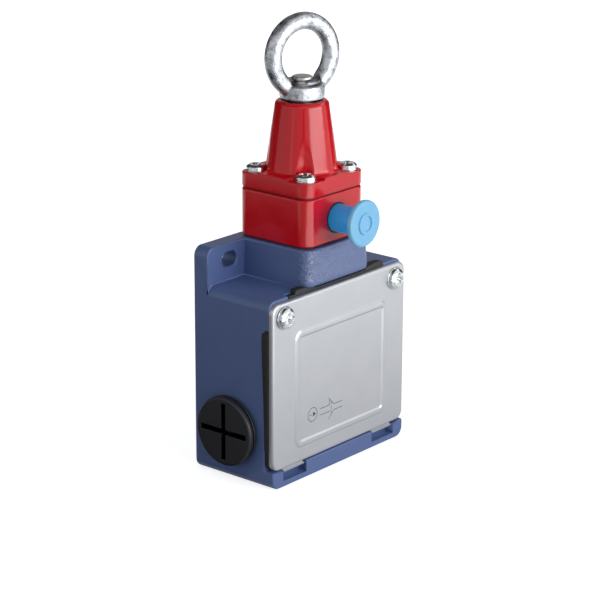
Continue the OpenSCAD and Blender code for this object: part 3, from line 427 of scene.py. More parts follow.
def joinRings(work, rings, closeEnds=True):
    # a wall of faces from ring to ring, where a ring of one point is a tip
    steps = max(len(ring) for ring in rings)
    for lower, upper in zip(rings, rings[1:]):
        for i in range(steps):
            j = (i + 1) % steps
            corners = [lower[i % len(lower)], lower[j % len(lower)],
                       upper[j % len(upper)], upper[i % len(upper)]]
            work.faces.new(list(dict.fromkeys(corners)))
    if closeEnds:
        work.faces.new(rings[0][::-1])
        work.faces.new(rings[-1])


def ringAt(work, place, height, radii):
    # a ring of points about the axis, evenly turned, one for each radius in mm
    turns = [2 * math.pi * i / len(radii) for i in range(len(radii))]
    return [work.verts.new(place @ (Vector((r * math.cos(a), r * math.sin(a), height)) * mm))
            for r, a in zip(radii, turns)]


def lathe(work, profile, place, steps=64):
    joinRings(work, [ringAt(work, place, height, [radius] * (steps if radius > 1e-6 else 1))
                     for radius, height in profile], False)


def slab(work, low, high, place=Matrix.Identity(4)):
    corners = [work.verts.new(place @ (Vector((x, y, z)) * mm))
               for z in (low[2], high[2]) for x, y in ((low[0], low[1]), (high[0], low[1]),
                                                       (high[0], high[1]), (low[0], high[1]))]
    for ring in ((3, 2, 1, 0), (4, 5, 6, 7), (0, 1, 5, 4), (1, 2, 6, 5), (2, 3, 7, 6), (3, 0, 4, 7)):
        work.faces.new([corners[i] for i in ring])


def pieceFrom(work, name, slotName):
    bmesh.ops.remove_doubles(work, verts=work.verts, dist=1e-7)
    bmesh.ops.recalc_face_normals(work, faces=work.faces)
    mesh = bpy.data.meshes.new(name)
    work.to_mesh(mesh)
    work.free()
    for face in mesh.polygons:
        face.use_smooth = True
    if slotName:
        mesh.materials.append(finishes[slotName])
    return linkObject(name, mesh)


def cadCopy(nodeName, name, slotName):
    work = bmesh.new()
    work.from_mesh(nodes[nodeName].data)
    bmesh.ops.remove_doubles(work, verts=work.verts, dist=1e-6)
    bmesh.ops.dissolve_limit(work, angle_limit=math.radians(0.4), verts=work.verts, edges=work.edges)
    return pieceFrom(work, name, slotName)


def softenEdges(piece, width, segments=2, angle=28):
    bevel = piece.modifiers.new("softEdges", "BEVEL")
    bevel.width = width * mm
    bevel.segments = segments
    bevel.limit_method = "ANGLE"
    bevel.angle_limit = math.radians(angle)
    bevel.use_clamp_overlap = False
    bevel.miter_outer = "MITER_ARC"
    evenNormals(piece)


def evenNormals(piece, sharpAbove=None):
    if sharpAbove:
        piece.data.set_sharp_from_angle(angle=math.radians(sharpAbove))
    weights = piece.modifiers.new("evenNormals", "WEIGHTED_NORMAL")
    weights.mode = "FACE_AREA"
    weights.weight = 100
    weights.keep_sharp = bool(sharpAbove)


def bakeShape(piece):
    # the evaluated shape as a plain mesh, with no modifier left
    view = bpy.context.evaluated_depsgraph_get()
    mesh = bpy.data.meshes.new_from_object(piece.evaluated_get(view))
    mesh.name = piece.name
    piece.modifiers.clear()
    piece.data = mesh
    return piece


def combine(piece, others, operation="UNION"):
    for other in others:
        step = piece.modifiers.new("combine", "BOOLEAN")
        step.object = other
        step.operation = operation
        step.solver = "MANIFOLD"
        bakeShape(piece)
        bpy.data.objects.remove(other)
    return piece


def standsFor(piece, replaced):
    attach(piece, bodyOf(replaced))
    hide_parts(replaced)
    return piece


def dressedFor(piece, slotName, sharpAbove, replaced):
    # one finish all over; edges above the angle stay crisp
    piece.data.materials.clear()
    piece.data.materials.append(finishes[slotName])
    evenNormals(piece, sharpAbove)
    return standsFor(piece, replaced)


def span(side, near, far):
    # both ends of a stretch on one side of the middle, the lower one first
    return sorted((side * near, side * far))


# sizes in mm that the castings, the cover and the gasket share; depths are counted from the mounting face
headAxis = Vector((0, (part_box("head_block")[0].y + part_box("head_block")[1].y) / 2 / mm, 0))
body = {"width": 63, "boxTop": 58.7, "boxDepth": 27.7, "earDepth": 5.5, "corner": 3.0, "front": 31.1,
        "coverBack": 29.5, "neckWidth": 29.5, "neckDepth": 30.7, "neckCorner": 3.5, "neckDraft": 0.4,
        "ledge": 5.5, "bossSize": 9.0, "edge": 0.5, "entryRadius": 9.3, "entryHeight": 15.9,
        "entryDepth": 14.3, "wall": 2.6, "mouthLift": 2.7, "mouthDrop": 3.1, "coverScrew": (26.3, 53.2),
        "headScrew": 9.9, "post": (15.6, 39), "earth": (17, 15)}


def roundedOutline(width, z0, z1, radius, steps=8):
    points = []
    for cx, cz, start in ((width / 2 - radius, z1 - radius, 0), (radius - width / 2, z1 - radius, 90),
                          (radius - width / 2, z0 + radius, 180), (width / 2 - radius, z0 + radius, 270)):
        for k in range(steps + 1):
            a = math.radians(start + 90 * k / steps)
            points.append((cx + radius * math.cos(a), cz + radius * math.sin(a)))
    return points


def prismPiece(outline, y0, y1, name="part"):
    # a front outline of (x, height) points, from depth y0 to y1 in front of the mounting face
    work = bmesh.new()
    joinRings(work, [[work.verts.new(Vector((x, -y, z + foot)) * mm) for x, z in outline] for y in (y0, y1)])
    return pieceFrom(work, name, None)


def stripPiece(section, x0, x1):
    # a side section of (depth, height) points, from x0 to x1 across the front
    work = bmesh.new()
    joinRings(work, [[work.verts.new(Vector((x, -y, z + foot)) * mm) for y, z in section] for x in (x0, x1)])
    return pieceFrom(work, "strip", None)


def slabPiece(low, high):
    work = bmesh.new()
    slab(work, (low[0], low[1], low[2] + foot), (high[0], high[1], high[2] + foot))
    return pieceFrom(work, "slab", None)


def barPiece(middle, axis, h0, h1, radius, chamfer=0.0, steps=48):
    # a round bar along an axis from h0 to h1, its far end flared by a chamfer where it leaves a face
    turn = {"x": Matrix.Rotation(math.pi / 2, 4, "Y"), "y": Matrix.Rotation(math.pi / 2, 4, "X"),
            "z": Matrix.Identity(4)}[axis]
    profile = [(0, h0), (radius, h0), (radius, h1 - chamfer * 2), (radius + chamfer * 2, h1), (0, h1)]
    if not chamfer:
        profile = [(0, h0), (radius, h0), (radius, h1), (0, h1)]
    place = Matrix.Translation(Vector((middle[0], middle[1], middle[2] + foot)) * mm) @ turn
    work = bmesh.new()
    lathe(work, profile, place, steps)
    return pieceFrom(work, "bar", None)


def headScrewBars(z0, z1, radius):
    # a bar on the line of each head screw
    reach = body["headScrew"]
    return [barPiece((sx * reach, headAxis.y + sy * reach, 0), "z", z0, z1, radius, 0, 24)
            for sx in (-1, 1) for sy in (-1, 1)]


def roomMouth(y0, y1):
    # the opening behind the cover, the same in the box and in the gasket
    outline = roundedOutline(body["width"] - 2 * body["wall"], body["ledge"] + body["mouthLift"],
                             body["boxTop"] - body["mouthDrop"], 0.6, 4)
    return prismPiece(outline, y0, y1)


def mergeFlats(piece):
    # faces that lie in one plane become one, so that only real edges are rounded later
    work = bmesh.new()
    work.from_mesh(piece.data)
    bmesh.ops.remove_doubles(work, verts=work.verts, dist=2e-6)
    bmesh.ops.dissolve_limit(work, angle_limit=math.radians(0.3), verts=work.verts, edges=work.edges)
    work.to_mesh(piece.data)
    work.free()
    for face in piece.data.polygons:
        face.use_smooth = True
    return piece


def neckBlank():
    # drafted block with rounded front corners; its overhang is rounded underneath, clear of the gasket
    neck = {"round": 1.5, "lift": 0.15, "rim": 0.55, "rootBack": 0.4, "rootDrop": 0.6, "rootRise": 0.8}
    root, depth, r = body["neckWidth"] / 2 + body["neckDraft"], body["neckDepth"], body["neckCorner"]
    levels = []
    for t in range(0, 91, 15):
        up = neck["round"] * (1 - math.cos(math.radians(t)))
        back = neck["round"] * (1 - math.sin(math.radians(t)))
        levels.append((body["boxTop"] + neck["lift"] + up, root, depth - back))
    for t in range(0, 91, 15):
        inset = neck["rim"] * (1 - math.cos(math.radians(t)))
        levels.append((roof - neck["rim"] * (1 - math.sin(math.radians(t))), body["neckWidth"] / 2 - inset,
                       depth - body["neckDraft"] - inset))
    rings = []
    work = bmesh.new()
    for z, half, front in levels:
        corner = [(half - r + r * math.sin(math.radians(t)), front - r + r * math.cos(math.radians(t)))
                  for t in range(0, 91, 9)]
        ring = [(half, 1.0), (-half, 1.0)] + [(-x, y) for x, y in corner[::-1]] + corner
        rings.append([work.verts.new(Vector((x, -y, z + foot)) * mm) for x, y in ring])
    joinRings(work, rings)
    low = slabPiece((-root, neck["rootBack"] - body["boxDepth"], body["boxTop"] - neck["rootDrop"]),
                    (root, -1, body["boxTop"] + neck["rootRise"]))
    return combine(pieceFrom(work, "neck", None), [low])


def slotCutter(middle):
    # stadium hole through the ear, flared at the front like a cast and dressed slot
    slot = {"radius": 2.25, "reach": 1.05, "flare": 0.7, "flareFrom": 0.3, "flareTo": 0.4}
    depths = ((-1, slot["radius"]), (body["earDepth"] - slot["flareFrom"], slot["radius"]),
              (body["earDepth"] + slot["flareTo"], slot["radius"] + slot["flare"]))
    rings = []
    work = bmesh.new()
    for depth, radius in depths:
        ring = [(middle + side * slot["reach"] + radius * math.cos(math.radians(a)),
                 radius * math.sin(math.radians(a)))
                for side, start in ((1, -90), (-1, 90)) for a in range(start, start + 181, 15)]
        rings.append([work.verts.new(Vector((x, -depth, z)) * mm) for x, z in ring])
    joinRings(work, rings)
    return pieceFrom(work, "slotCutter", None)


def cornerBoss(side):
    # the boss under a cover screw fills an upper corner of the box and shares its rounding
    w, top, r = body["width"], body["boxTop"], body["corner"]
    arc = [p for p in roundedOutline(w, 0, top, r) if p[1] > top - r - 0.01 and p[0] * side > 0]
    inner, low = w / 2 - body["bossSize"], top - body["bossSize"]
    inside = [(side * inner, top), (side * inner, low), (side * w / 2, low)]
    outline = arc + inside if side > 0 else inside[:1] + arc + inside[:0:-1]
    return prismPiece(outline, body["boxDepth"] - 1, body["coverBack"])


def roomInside():
    # the hollow of the box, with its bosses left standing
    inside = {"floor": 3.2, "back": 3.2, "corner": 2, "boss": 11.2, "entry": 6.2, "entryBoss": 12,
              "lowEntry": 7.2, "postRadius": 3.7, "postTop": 6.2, "earthRadius": 4, "earthTop": 7.2}
    w, top = body["width"], body["boxTop"]
    hollow = roundedOutline(w - 2 * body["wall"], inside["floor"], top - body["mouthDrop"], inside["corner"])
    room = prismPiece(hollow, inside["back"], body["boxDepth"] - 3)
    combine(room, [roomMouth(body["boxDepth"] - 4, body["front"] + 3)])
    entry = (0, -body["entryDepth"], body["entryHeight"])
    solids = []
    for side in (-1, 1):
        x0, x1 = span(side, w / 2 - inside["boss"], w / 2 + 1)
        solids.append(slabPiece((x0, -40, top - inside["boss"]), (x1, 0, 70)))
    for side in (-1, 1):
        x0, x1 = span(side, w / 2 - inside["entry"], w / 2 + 2)
        solids.append(barPiece(entry, "x", x0, x1, inside["entryBoss"]))
    solids.append(barPiece((0, -body["entryDepth"], -1), "z", 0, inside["lowEntry"], inside["entryBoss"]))
    x, z = body["post"]
    solids += [barPiece((side * x, 0, z), "y", 0, inside["postTop"], inside["postRadius"])
               for side in (-1, 1)]
    x, z = body["earth"]
    solids.append(barPiece((x, 0, z), "y", 0, inside["earthTop"], inside["earthRadius"]))
    return combine(room, solids, "DIFFERENCE")


def housingCasting():
    # what is let into the casting, and what is drilled in it: each bore as start, end and radius
    w, r, top = body["width"], body["corner"], body["boxTop"]
    cuts = {"fixing": 21.5, "entry": 7.5, "seatFrom": 4.8, "seatTo": 15.6, "seatFoot": 1.9, "seatTop": 7,
            "hookDrop": 1.8, "hookDepth": 3}
    bores = {"cover": (20.5, body["front"], 1.8), "post": (1.5, 8, 1.55), "earth": (1.5, 9, 1.8),
             "lowEntry": (-1, 7.2, body["entryRadius"]), "headWell": (top + 2.3, 80, 8.5),
             "shaft": (top - 4.1, top + 3, 5), "head": (60.5, 80, 1.8)}
    casting = prismPiece(roundedOutline(w, 0, roof, r), 0, body["earDepth"], "housingCasting")
    ledge = [(w / 2, body["ledge"]), (-w / 2, body["ledge"])]
    ledge += [p for p in roundedOutline(w, 0, top, r) if p[1] < r + 0.01]
    combine(casting, [prismPiece(roundedOutline(w, 0, top, r), body["earDepth"] - 1, body["boxDepth"]),
                      prismPiece(ledge, body["boxDepth"] - 1, body["front"]), cornerBoss(1), cornerBoss(-1)])
    mergeFlats(casting)
    softenEdges(casting, body["edge"], 3)
    bakeShape(casting)
    combine(casting, [neckBlank()])

    tools = [roomInside()]
    for side in (-1, 1):
        tools.append(slotCutter(side * cuts["fixing"]))
        x0, x1 = span(side, w / 2 - cuts["entry"], w / 2 + 1)
        tools.append(barPiece((0, -body["entryDepth"], body["entryHeight"]), "x", x0, x1,
                              body["entryRadius"]))
        x0, x1 = span(side, w / 2 - cuts["seatFrom"], w / 2 - cuts["seatTo"])
        tools.append(slabPiece((x0, -body["front"] - 1, cuts["seatFoot"]),
                               (x1, -body["boxDepth"] - 0.5, cuts["seatTop"])))
        tools.append(slabPiece((x0, -body["coverBack"], body["ledge"] - cuts["hookDrop"]),
                               (x1, cuts["hookDepth"] - body["coverBack"], body["ledge"])))
        x, z = body["coverScrew"]
        tools.append(barPiece((side * x, 0, z), "y", *bores["cover"], 0, 24))
        x, z = body["post"]
        tools.append(barPiece((side * x, 0, z), "y", *bores["post"], 0, 24))
    x, z = body["earth"]
    tools.append(barPiece((x, 0, z), "y", *bores["earth"], 0, 24))
    tools.append(barPiece((0, -body["entryDepth"], 0), "z", *bores["lowEntry"]))
    tools.append(barPiece((0, headAxis.y, 0), "z", *bores["headWell"]))
    tools.append(barPiece((0, headAxis.y, 0), "z", *bores["shaft"]))
    tools += headScrewBars(*bores["head"])
    combine(casting, tools, "DIFFERENCE")
    return dressedFor(casting, "housing_enamel", 38, "body_housing")


def headBlank(z0, z1, radius, side):
    # square slab with rounded upright corners
    outline = roundedOutline(side, -side / 2, side / 2, radius, 10)
    work = bmesh.new()
    joinRings(work, [[work.verts.new(Vector((x, y + headAxis.y, z)) * mm) for x, y in outline]
                     for z in (z0, z1)])
    return pieceFrom(work, "headBlank", None)


def headBlockCasting():
    low, high = (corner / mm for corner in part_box("head_block"))
    block = {"corner": 4.0, "rise": 0.1, "edge": 0.5, "spread": 0.25, "bore": 9.9, "screwHole": 2.0,
             "knobHole": 4.7, "knobRim": 0.1, "guideSeat": 6.05}
    casting = headBlank(low.z, high.z + block["rise"], block["corner"], high.x - low.x + 2 * block["spread"])
    casting.name = "headBlockCasting"
    softenEdges(casting, block["edge"], 3)
    bakeShape(casting)
    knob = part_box("reset_knob")
    knobLine = (0, 0, (knob[0].z + knob[1].z) / 2 / mm - foot)
    front, rim = block["spread"] - low.y, block["knobRim"]
    guideFlange = -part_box("latch_guide")[1].y / mm + 1
    z0, z1 = low.z - foot - 1, high.z - foot + 1
    tools = [barPiece((0, headAxis.y, 0), "z", z0, z1, block["bore"], 0, 96),
             barPiece(knobLine, "y", -headAxis.y, front - rim, block["knobHole"], 0, 64),
             barPiece(knobLine, "y", front - 0.35, front + 2 * rim, block["knobHole"] + 0.01, rim, 64),
             barPiece(knobLine, "y", -headAxis.y, guideFlange, block["guideSeat"], 0, 64)]
    combine(casting, tools + headScrewBars(z0, z1, block["screwHole"]), "DIFFERENCE")
    return dressedFor(casting, "red_enamel", 38, "head_block")


def scallopedCone(cap, place, tall):
    # the cone as rings whose radius is the smaller, softly blended, of its own profile and of the
    # circle kept free round each screw, so that the scallops run out in arches with round rims
    topRadius = cap["coneRadius"] - tall * math.tan(math.radians(cap["slope"]))
    skirt = cap["coneRadius"] + 1.2
    profile = softProfile([
        (0, -1.0), (skirt, -1.0), (skirt, -0.02), (cap["coneRadius"], -0.02, cap["footFillet"]),
        (topRadius, tall, cap["topEdge"]), (0, tall)], 7)
    dense = [profile[0]]
    for before, after in zip(profile, profile[1:]):
        parts = max(1, int((after - before).length / 0.7)) if before.x > cap["bore"] else 1
        dense += [before.lerp(after, k / parts) for k in range(1, parts + 1)]
    away = body["headScrew"] * math.sqrt(2)
    limits = []
    for i in range(cap["sides"]):
        spin = (2 * math.pi * i / cap["sides"]) % (math.pi / 2) - math.pi / 4
        across = away * math.sin(spin)
        limit = 4 * cap["coneRadius"]  # between the screws nothing limits the cone
        if abs(across) < cap["clear"]:
            limit = away * math.cos(spin) - math.sqrt(cap["clear"] ** 2 - across ** 2)
        limits.append(limit)
    rings = []
    work = bmesh.new()
    for radius, height in dense:
        radii = [0]
        if radius > 1e-6:
            nears = [max(cap["blend"] - abs(radius - limit), 0) / cap["blend"] for limit in limits]
            radii = [min(radius, limit) - near * near * cap["blend"] / 4
                     for limit, near in zip(limits, nears)]
        rings.append(ringAt(work, place, height, radii))
    joinRings(work, rings, False)
    return pieceFrom(work, "cone", None)


def headCapCasting():
    # flange and cone in one casting; the screws' pads are let into the foot of the cone
    low, high = (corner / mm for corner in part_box("head_cap"))
    cap = {"corner": 4.0, "spread": 0.25, "flange": 5.2, "slope": 8.5, "coneRadius": 11.1, "topEdge": 1.5,
           "sides": 576, "footFillet": 1.0, "clear": 4.15, "blend": 0.6, "padDrop": 0.65, "padGap": 0.05,
           "rim": 0.4, "bore": 7.6, "bushBore": 5.65, "wiperBore": 6.25, "screwHole": 2.0, "topDrop": 0.75}
    flangeTop = low.z + cap["flange"]
    casting = headBlank(low.z, flangeTop, cap["corner"], high.x - low.x + 2 * cap["spread"])
    casting.name = "headCapCasting"
    pads = []
    padZ, reach = flangeTop - cap["padDrop"] - foot, cap["clear"] + cap["padGap"]
    for sx in (-1, 1):
        for sy in (-1, 1):
            x, y = sx * body["headScrew"], headAxis.y + sy * body["headScrew"]
            x0, x1 = sorted((x, sx * 20))
            y0, y1 = sorted((y, headAxis.y + sy * 20))
            pads.append(barPiece((x, y, 0), "z", padZ, padZ + 3, reach, 0, 48))
            pads.append(slabPiece((x0, y - reach, padZ), (x1, y + reach, padZ + 3)))
            pads.append(slabPiece((x - reach, y0, padZ), (x + reach, y1, padZ + 3)))
    combine(casting, pads, "DIFFERENCE")
    mergeFlats(casting)
    softenEdges(casting, cap["rim"], 3, 30)
    bakeShape(casting)
    place = Matrix.Translation(Vector((0, headAxis.y, flangeTop)) * mm)
    combine(casting, [scallopedCone(cap, place, high.z - cap["topDrop"] - flangeTop)])
    z0, z1, bushFoot, wiperFoot = (z - foot for z in (
        low.z, high.z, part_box("guide_bush")[0].z / mm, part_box("shaft_wiper")[0].z / mm))
    tools = [barPiece((0, headAxis.y, 0), "z", z0 - 1, bushFoot + 1.2, cap["bore"], 0, 96),
             barPiece((0, headAxis.y, 0), "z", z0, z1 + 1, cap["bushBore"], 0, 96),
             barPiece((0, headAxis.y, 0), "z", wiperFoot, z1 + 1, cap["wiperBore"], 0, 96)]
    combine(casting, tools + headScrewBars(z0 - 1, z1, cap["screwHole"]), "DIFFERENCE")
    return dressedFor(casting, "red_enamel", 38, "head_cap")


def loftLoops(name, loops):
    # closed front outlines (points, depth) joined loop to loop, with both ends closed
    work = bmesh.new()
    joinRings(work, [[work.verts.new(Vector((x, -depth, z + foot)) * mm) for x, z in points]
                     for points, depth in loops])
    return pieceFrom(work, name, None)


def coverHook(cover, side, bottom):
    # a strip of the sheet that leaves the cover's lower edge, bends under it and hooks into the ledge
    front, back = body["front"] - cover["hookBack"], body["coverBack"] - cover["hookReach"]
    gap, bend, steel = bottom - cover["hookGap"], cover["hookDrop"] - cover["hookGap"], cover["hookSteel"]
    outer, inner = ([(front - bend + r * math.cos(math.radians(a)), gap - r * math.sin(math.radians(a)))
                     for a in range(0, 91, 15)] for r in (bend, bend - steel))
    section = [(front - cover["hookNeck"], bottom + 1.5), (front - cover["hookNeck"], gap)] + outer
    section += [(back, gap - bend), (back, gap - bend + steel)] + inner[::-1]
    section.append((front - steel, bottom + 1.5))
    return stripPiece(section, *span(side, cover["hookFrom"], cover["hookFrom"] + cover["hookWidth"]))


def coverSheet():
    low, high = (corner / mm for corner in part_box("cover_plate"))
    cover = {"corner": 3.0, "edge": 0.85, "band": 2.1, "bandWidth": 43.5, "bandHeight": 36.8,
             "bandShift": 0.4, "bandCorner": 2.8, "bandRise": 0.38, "bandFoot": 10.6, "slope": 0.34,
             "soft": 0.15, "brow": 0.04, "hookBack": 0.25, "hookGap": 0.6, "hookDrop": 1.5, "hookNeck": 0.7,
             "hookReach": 1.6, "hookSteel": 1.0, "hookFrom": 16.6, "hookWidth": 9.4, "footHeight": 5.75,
             "hole": 2.05, "dimple": 0.22, "dimpleRadius": 3.62}
    front, back = body["front"], body["coverBack"]
    width, top, bottom = high.x - low.x, high.z - foot, cover["footHeight"]
    loops = [(roundedOutline(width - 0.2, bottom + 0.1, top - 0.1, cover["corner"] - 0.1), back),
             (roundedOutline(width, bottom, top, cover["corner"]), back + 0.1)]
    for k in range(6):
        a = math.radians(90 * k / 5)
        inset = cover["edge"] * (1 - math.cos(a))
        loops.append((roundedOutline(width - 2 * inset, bottom + inset, top - inset, cover["corner"] - inset),
                      front - cover["edge"] + cover["edge"] * math.sin(a)))
    # the raised band is a frame: up its outer slope, across, and down its inner one
    z0, z1 = cover["bandFoot"], cover["bandFoot"] + cover["bandHeight"]
    slope, soft, brow, rise = cover["slope"], cover["soft"], cover["brow"], cover["bandRise"]
    up = [(-soft, 0), (0.0, brow), (slope, rise - brow), (slope + soft, rise)]
    for inset, height in up + [(cover["band"] - inset, height) for inset, height in up[::-1]]:
        radius = max(cover["bandCorner"] - max(inset, 0), 0.5)
        outline = roundedOutline(cover["bandWidth"] - 2 * inset, z0 + inset, z1 - inset, radius)
        loops.append(([(x + cover["bandShift"], z) for x, z in outline], front + height))
    sheet = loftLoops("coverSheet", loops)
    combine(sheet, [coverHook(cover, side, bottom) for side in (-1, 1)])
    tools = []
    for side in (-1, 1):
        screw = (side * body["coverScrew"][0], 0, body["coverScrew"][1])
        tools.append(barPiece(screw, "y", back - 1, front + 1, cover["hole"], 0, 32))
        tools.append(barPiece(screw, "y", front - cover["dimple"], front + 0.3,
                              cover["dimpleRadius"], 0.12, 64))
    combine(sheet, tools, "DIFFERENCE")
    return dressedFor(sheet, "cover_sheet", 42, "cover_plate")


def gasketLip(gasket, outerEnd, innerEnd):
    # section swept along the box's edge; it tapers off in front of the neck's rounded corner
    crest = body["coverBack"]
    rings = []
    work = bmesh.new()
    for k in range(25):
        t = k / 24
        start = min(1, math.sqrt(max(0, 1 - (1 - min(t * 6, 1)) ** 2)) * 0.75 + 0.25)
        size = start * (1 - 0.7 * max(0, (t - 0.4) / 0.6) ** 1.3)
        rise, deep = gasket["lipRise"] * size, (crest - gasket["lipBack"]) * size
        ridge = gasket["lipWave"] * math.sin(t * 40)
        section = softProfile([(crest - 0.02, -0.8), (crest - 0.02, rise, 0.5 * size),
                               (crest - deep * 0.55, rise + ridge, 0.3 * size),
                               (crest - deep, rise * 0.75, 0.5 * size), (crest - deep, -0.1)], 3)
        x = outerEnd + (innerEnd - outerEnd) * t
        rings.append([work.verts.new(Vector((x, -y, body["boxTop"] + z + foot)) * mm) for y, z in section])
    joinRings(work, rings)
    return pieceFrom(work, "lip", None)


def gasketTongue(gasket, side):
    # where the rubber wells out of the joint at the box's side: widest at the top, gone near the foot
    box, crest = body["boxDepth"], body["coverBack"] - 0.3
    outline = [(box - 0.9, 48.9), (box - 1.05, 46.5), (box - 0.9, 40.0), (box - 0.45, 30.0),
               (box - 0.1, 20.0), (box + 0.2, 12.0), (crest, 12.0), (crest, 49.2), (box - 0.2, 49.3)]
    wall = body["width"] / 2
    tongue = stripPiece(outline, side * (wall - 0.7), side * (wall + gasket["bulge"]))
    softenEdges(tongue, 0.3, 3)
    return bakeShape(tongue)


def coverGasket():
    # frame between box and cover, with a rounded lip over the roof each side of the neck and
    # a tongue at each side; a lip runs from its outer to its inner end
    gasket = {"inset": 0.3, "lipRise": 1.0, "lipBack": 26.6, "lipWave": 0.06, "bulge": 0.12, "edge": 0.25,
              "lips": ((-19.4, -10.6), (22.2, 13.6))}
    top, low = body["boxTop"] - 0.2, body["ledge"] + 0.15
    frameRing = prismPiece(roundedOutline(body["width"] - 2 * gasket["inset"], low, top, body["corner"]),
                           body["boxDepth"], body["coverBack"], "coverGasket")
    boss = body["bossSize"] + 0.1
    holes = [roomMouth(body["boxDepth"] - 1, body["coverBack"] + 1)]
    for side in (-1, 1):
        x0, x1 = span(side, body["width"] / 2 - boss, body["width"] / 2 + 3)
        holes.append(slabPiece((x0, -32, body["boxTop"] - boss), (x1, -20, 70)))
    combine(frameRing, holes, "DIFFERENCE")
    softenEdges(frameRing, gasket["edge"], 2)
    bakeShape(frameRing)
    combine(frameRing, [gasketLip(gasket, *ends) for ends in gasket["lips"]]
            + [gasketTongue(gasket, side) for side in (-1, 1)])
    return dressedFor(frameRing, "black_rubber", 50, "cover_gasket")


housingCasting()
headBlockCasting()
headCapCasting()
print("castings made")
coverSheet()
coverGasket()
print("cover and gasket made")


def resetKnob():
    low, high = (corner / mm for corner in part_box("reset_knob"))
    knob = {"stemRadius": 4.2, "bore": 3.3, "rodBore": 1.26, "discBack": 2.0, "ring": (2.45, 3.3),
            "ringRise": 0.42}
    face = -low.y - knob["ringRise"]
    outer = (high.x - low.x) / 2
    back = face - knob["discBack"]
    boreEnd = -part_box("latch_guide")[0].y / mm + 0.3
    profile = softProfile([
        (0, face - 0.8), (knob["rodBore"], face - 0.8), (knob["rodBore"], boreEnd), (knob["bore"], boreEnd),
        (knob["bore"], -high.y), (knob["stemRadius"], -high.y, 0.15), (knob["stemRadius"], back - 0.5, 0.9),
        (outer - 1.2, back, 1.0), (outer, back + 0.35, 0.5), (outer, face, 0.75),
        (knob["ring"][1] + 0.1, face - 0.12, 0.1), (knob["ring"][1], face + knob["ringRise"], 0.16),
        (knob["ring"][0], face + knob["ringRise"], 0.16), (knob["ring"][0] - 0.1, face - 0.1, 0.1),
        (0, face - 0.1)])
    work = bmesh.new()
    middle = Vector((0, 0, (low.z + high.z) / 2 * mm))
    lathe(work, profile, Matrix.Translation(middle) @ Matrix.Rotation(math.pi / 2, 4, "X"), 72)
    piece = pieceFrom(work, "resetKnob", "blue_plastic")
    evenNormals(piece)
    return standsFor(piece, "reset_knob")


def cablePlug(nodeName, name, side):
    low, high = (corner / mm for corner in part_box(nodeName))
    plug = {"seat": 31.5, "slotWidth": 1.7, "slotReach": 8.9, "slotDepth": 3.0, "hollow": 7.25, "shank": 9.25}
    outer = (high.z - low.z) / 2
    face = max(-low.x, high.x) - plug["seat"]
    rear = min(abs(low.x), abs(high.x)) - plug["seat"]
    profile = softProfile([
        (0, -0.6), (plug["hollow"], -0.6), (plug["hollow"], rear), (plug["shank"], rear, 0.3),
        (plug["shank"], 0.6), (outer - 0.2, 0.6, 0.2), (outer, 1.25, 0.3),
        (outer - 0.75, 1.35), (outer - 0.75, 1.65),
        (outer - 0.15, 1.7, 0.2), (outer - 0.15, face, 0.75), (0, face)])
    seat = Vector((side * plug["seat"], (low.y + high.y) / 2, (low.z + high.z) / 2)) * mm
    place = Matrix.Translation(seat) @ Matrix.Rotation(side * math.pi / 2, 4, "Y")
    work = bmesh.new()
    lathe(work, profile, place, 80)
    piece = pieceFrom(work, name, "black_polyamide")
    for turned in (False, True):
        wide, long = plug["slotWidth"] / 2, plug["slotReach"]
        reach = (wide, long) if turned else (long, wide)
        work = bmesh.new()
        slab(work, (-reach[0], -reach[1], face - plug["slotDepth"]), (*reach, face + 1), place)
        combine(piece, [pieceFrom(work, "slotCutter", None)], "DIFFERENCE")
    softenEdges(piece, 0.12, 2, 40)
    return standsFor(piece, nodeName)


resetKnob()
cablePlug("cable_plug_left", "cablePlugLeft", -1)
cablePlug("cable_plug_right", "cablePlugRight", 1)
print("knob and plugs turned")


def recessCutter(headD, headH, spin):
    # one bar of the cross recess, tapering downwards
    recess = {"wide": 0.085, "reach": 0.34, "deep": 0.62}  # shares of the head's width and height
    wide, reach, floorZ = headD * recess["wide"], headD * recess["reach"], headH * (1 - recess["deep"])
    turn = Matrix.Rotation(spin, 4, "Z")
    rings = []
    work = bmesh.new()
    for height, long, broad in ((headH + 0.3, reach, wide * 1.25), (floorZ, reach * 0.42, wide * 0.7)):
        rings.append([work.verts.new(turn @ (Vector((x * long, y * broad, height)) * mm))
                      for x, y in ((-1, -1), (1, -1), (1, 1), (-1, 1))])
    joinRings(work, rings)
    bmesh.ops.recalc_face_normals(work, faces=work.faces)
    mesh = bpy.data.meshes.new("recessCutter")
    work.to_mesh(mesh)
    work.free()
    return linkObject("recessCutter", mesh)


def screwMesh(headD, headH, threadD, length):
    # pan head with a thin collar and a cross recess; the seat is at height 0
    r, t, pitch, threadDepth = headD / 2, threadD / 2, 0.7, 0.38
    profile = [Vector((0, -length))]
    for i in range(int((length - 1) / pitch)):
        valley = -length + 0.5 + i * pitch
        profile += [Vector((t - threadDepth, valley)), Vector((t, valley + pitch / 2))]
    profile += [Vector((t - 0.1, -0.3))] + softProfile([
        (t - 0.1, 0.0), (r - 0.02, 0.0, 0.14), (r, 0.5, 0.14), (r - 0.2, 0.62), (r - 0.22, headH * 0.7, 0.45),
        (r * 0.66, headH * 0.97, 0.8), (r * 0.3, headH), (0, headH)])
    work = bmesh.new()
    lathe(work, profile, Matrix.Identity(4), 40)
    piece = pieceFrom(work, "screwMaster", "zinc_plated_steel")
    combine(piece, [recessCutter(headD, headH, spin) for spin in (0, math.pi / 2)], "DIFFERENCE")
    softenEdges(piece, 0.07, 2, 35)
    return bakeShape(piece)


def socketId(tree, label):
    return next(item.identifier for item in tree.interface.items_tree
                if item.item_type == "SOCKET" and item.in_out == "INPUT" and item.name == label)


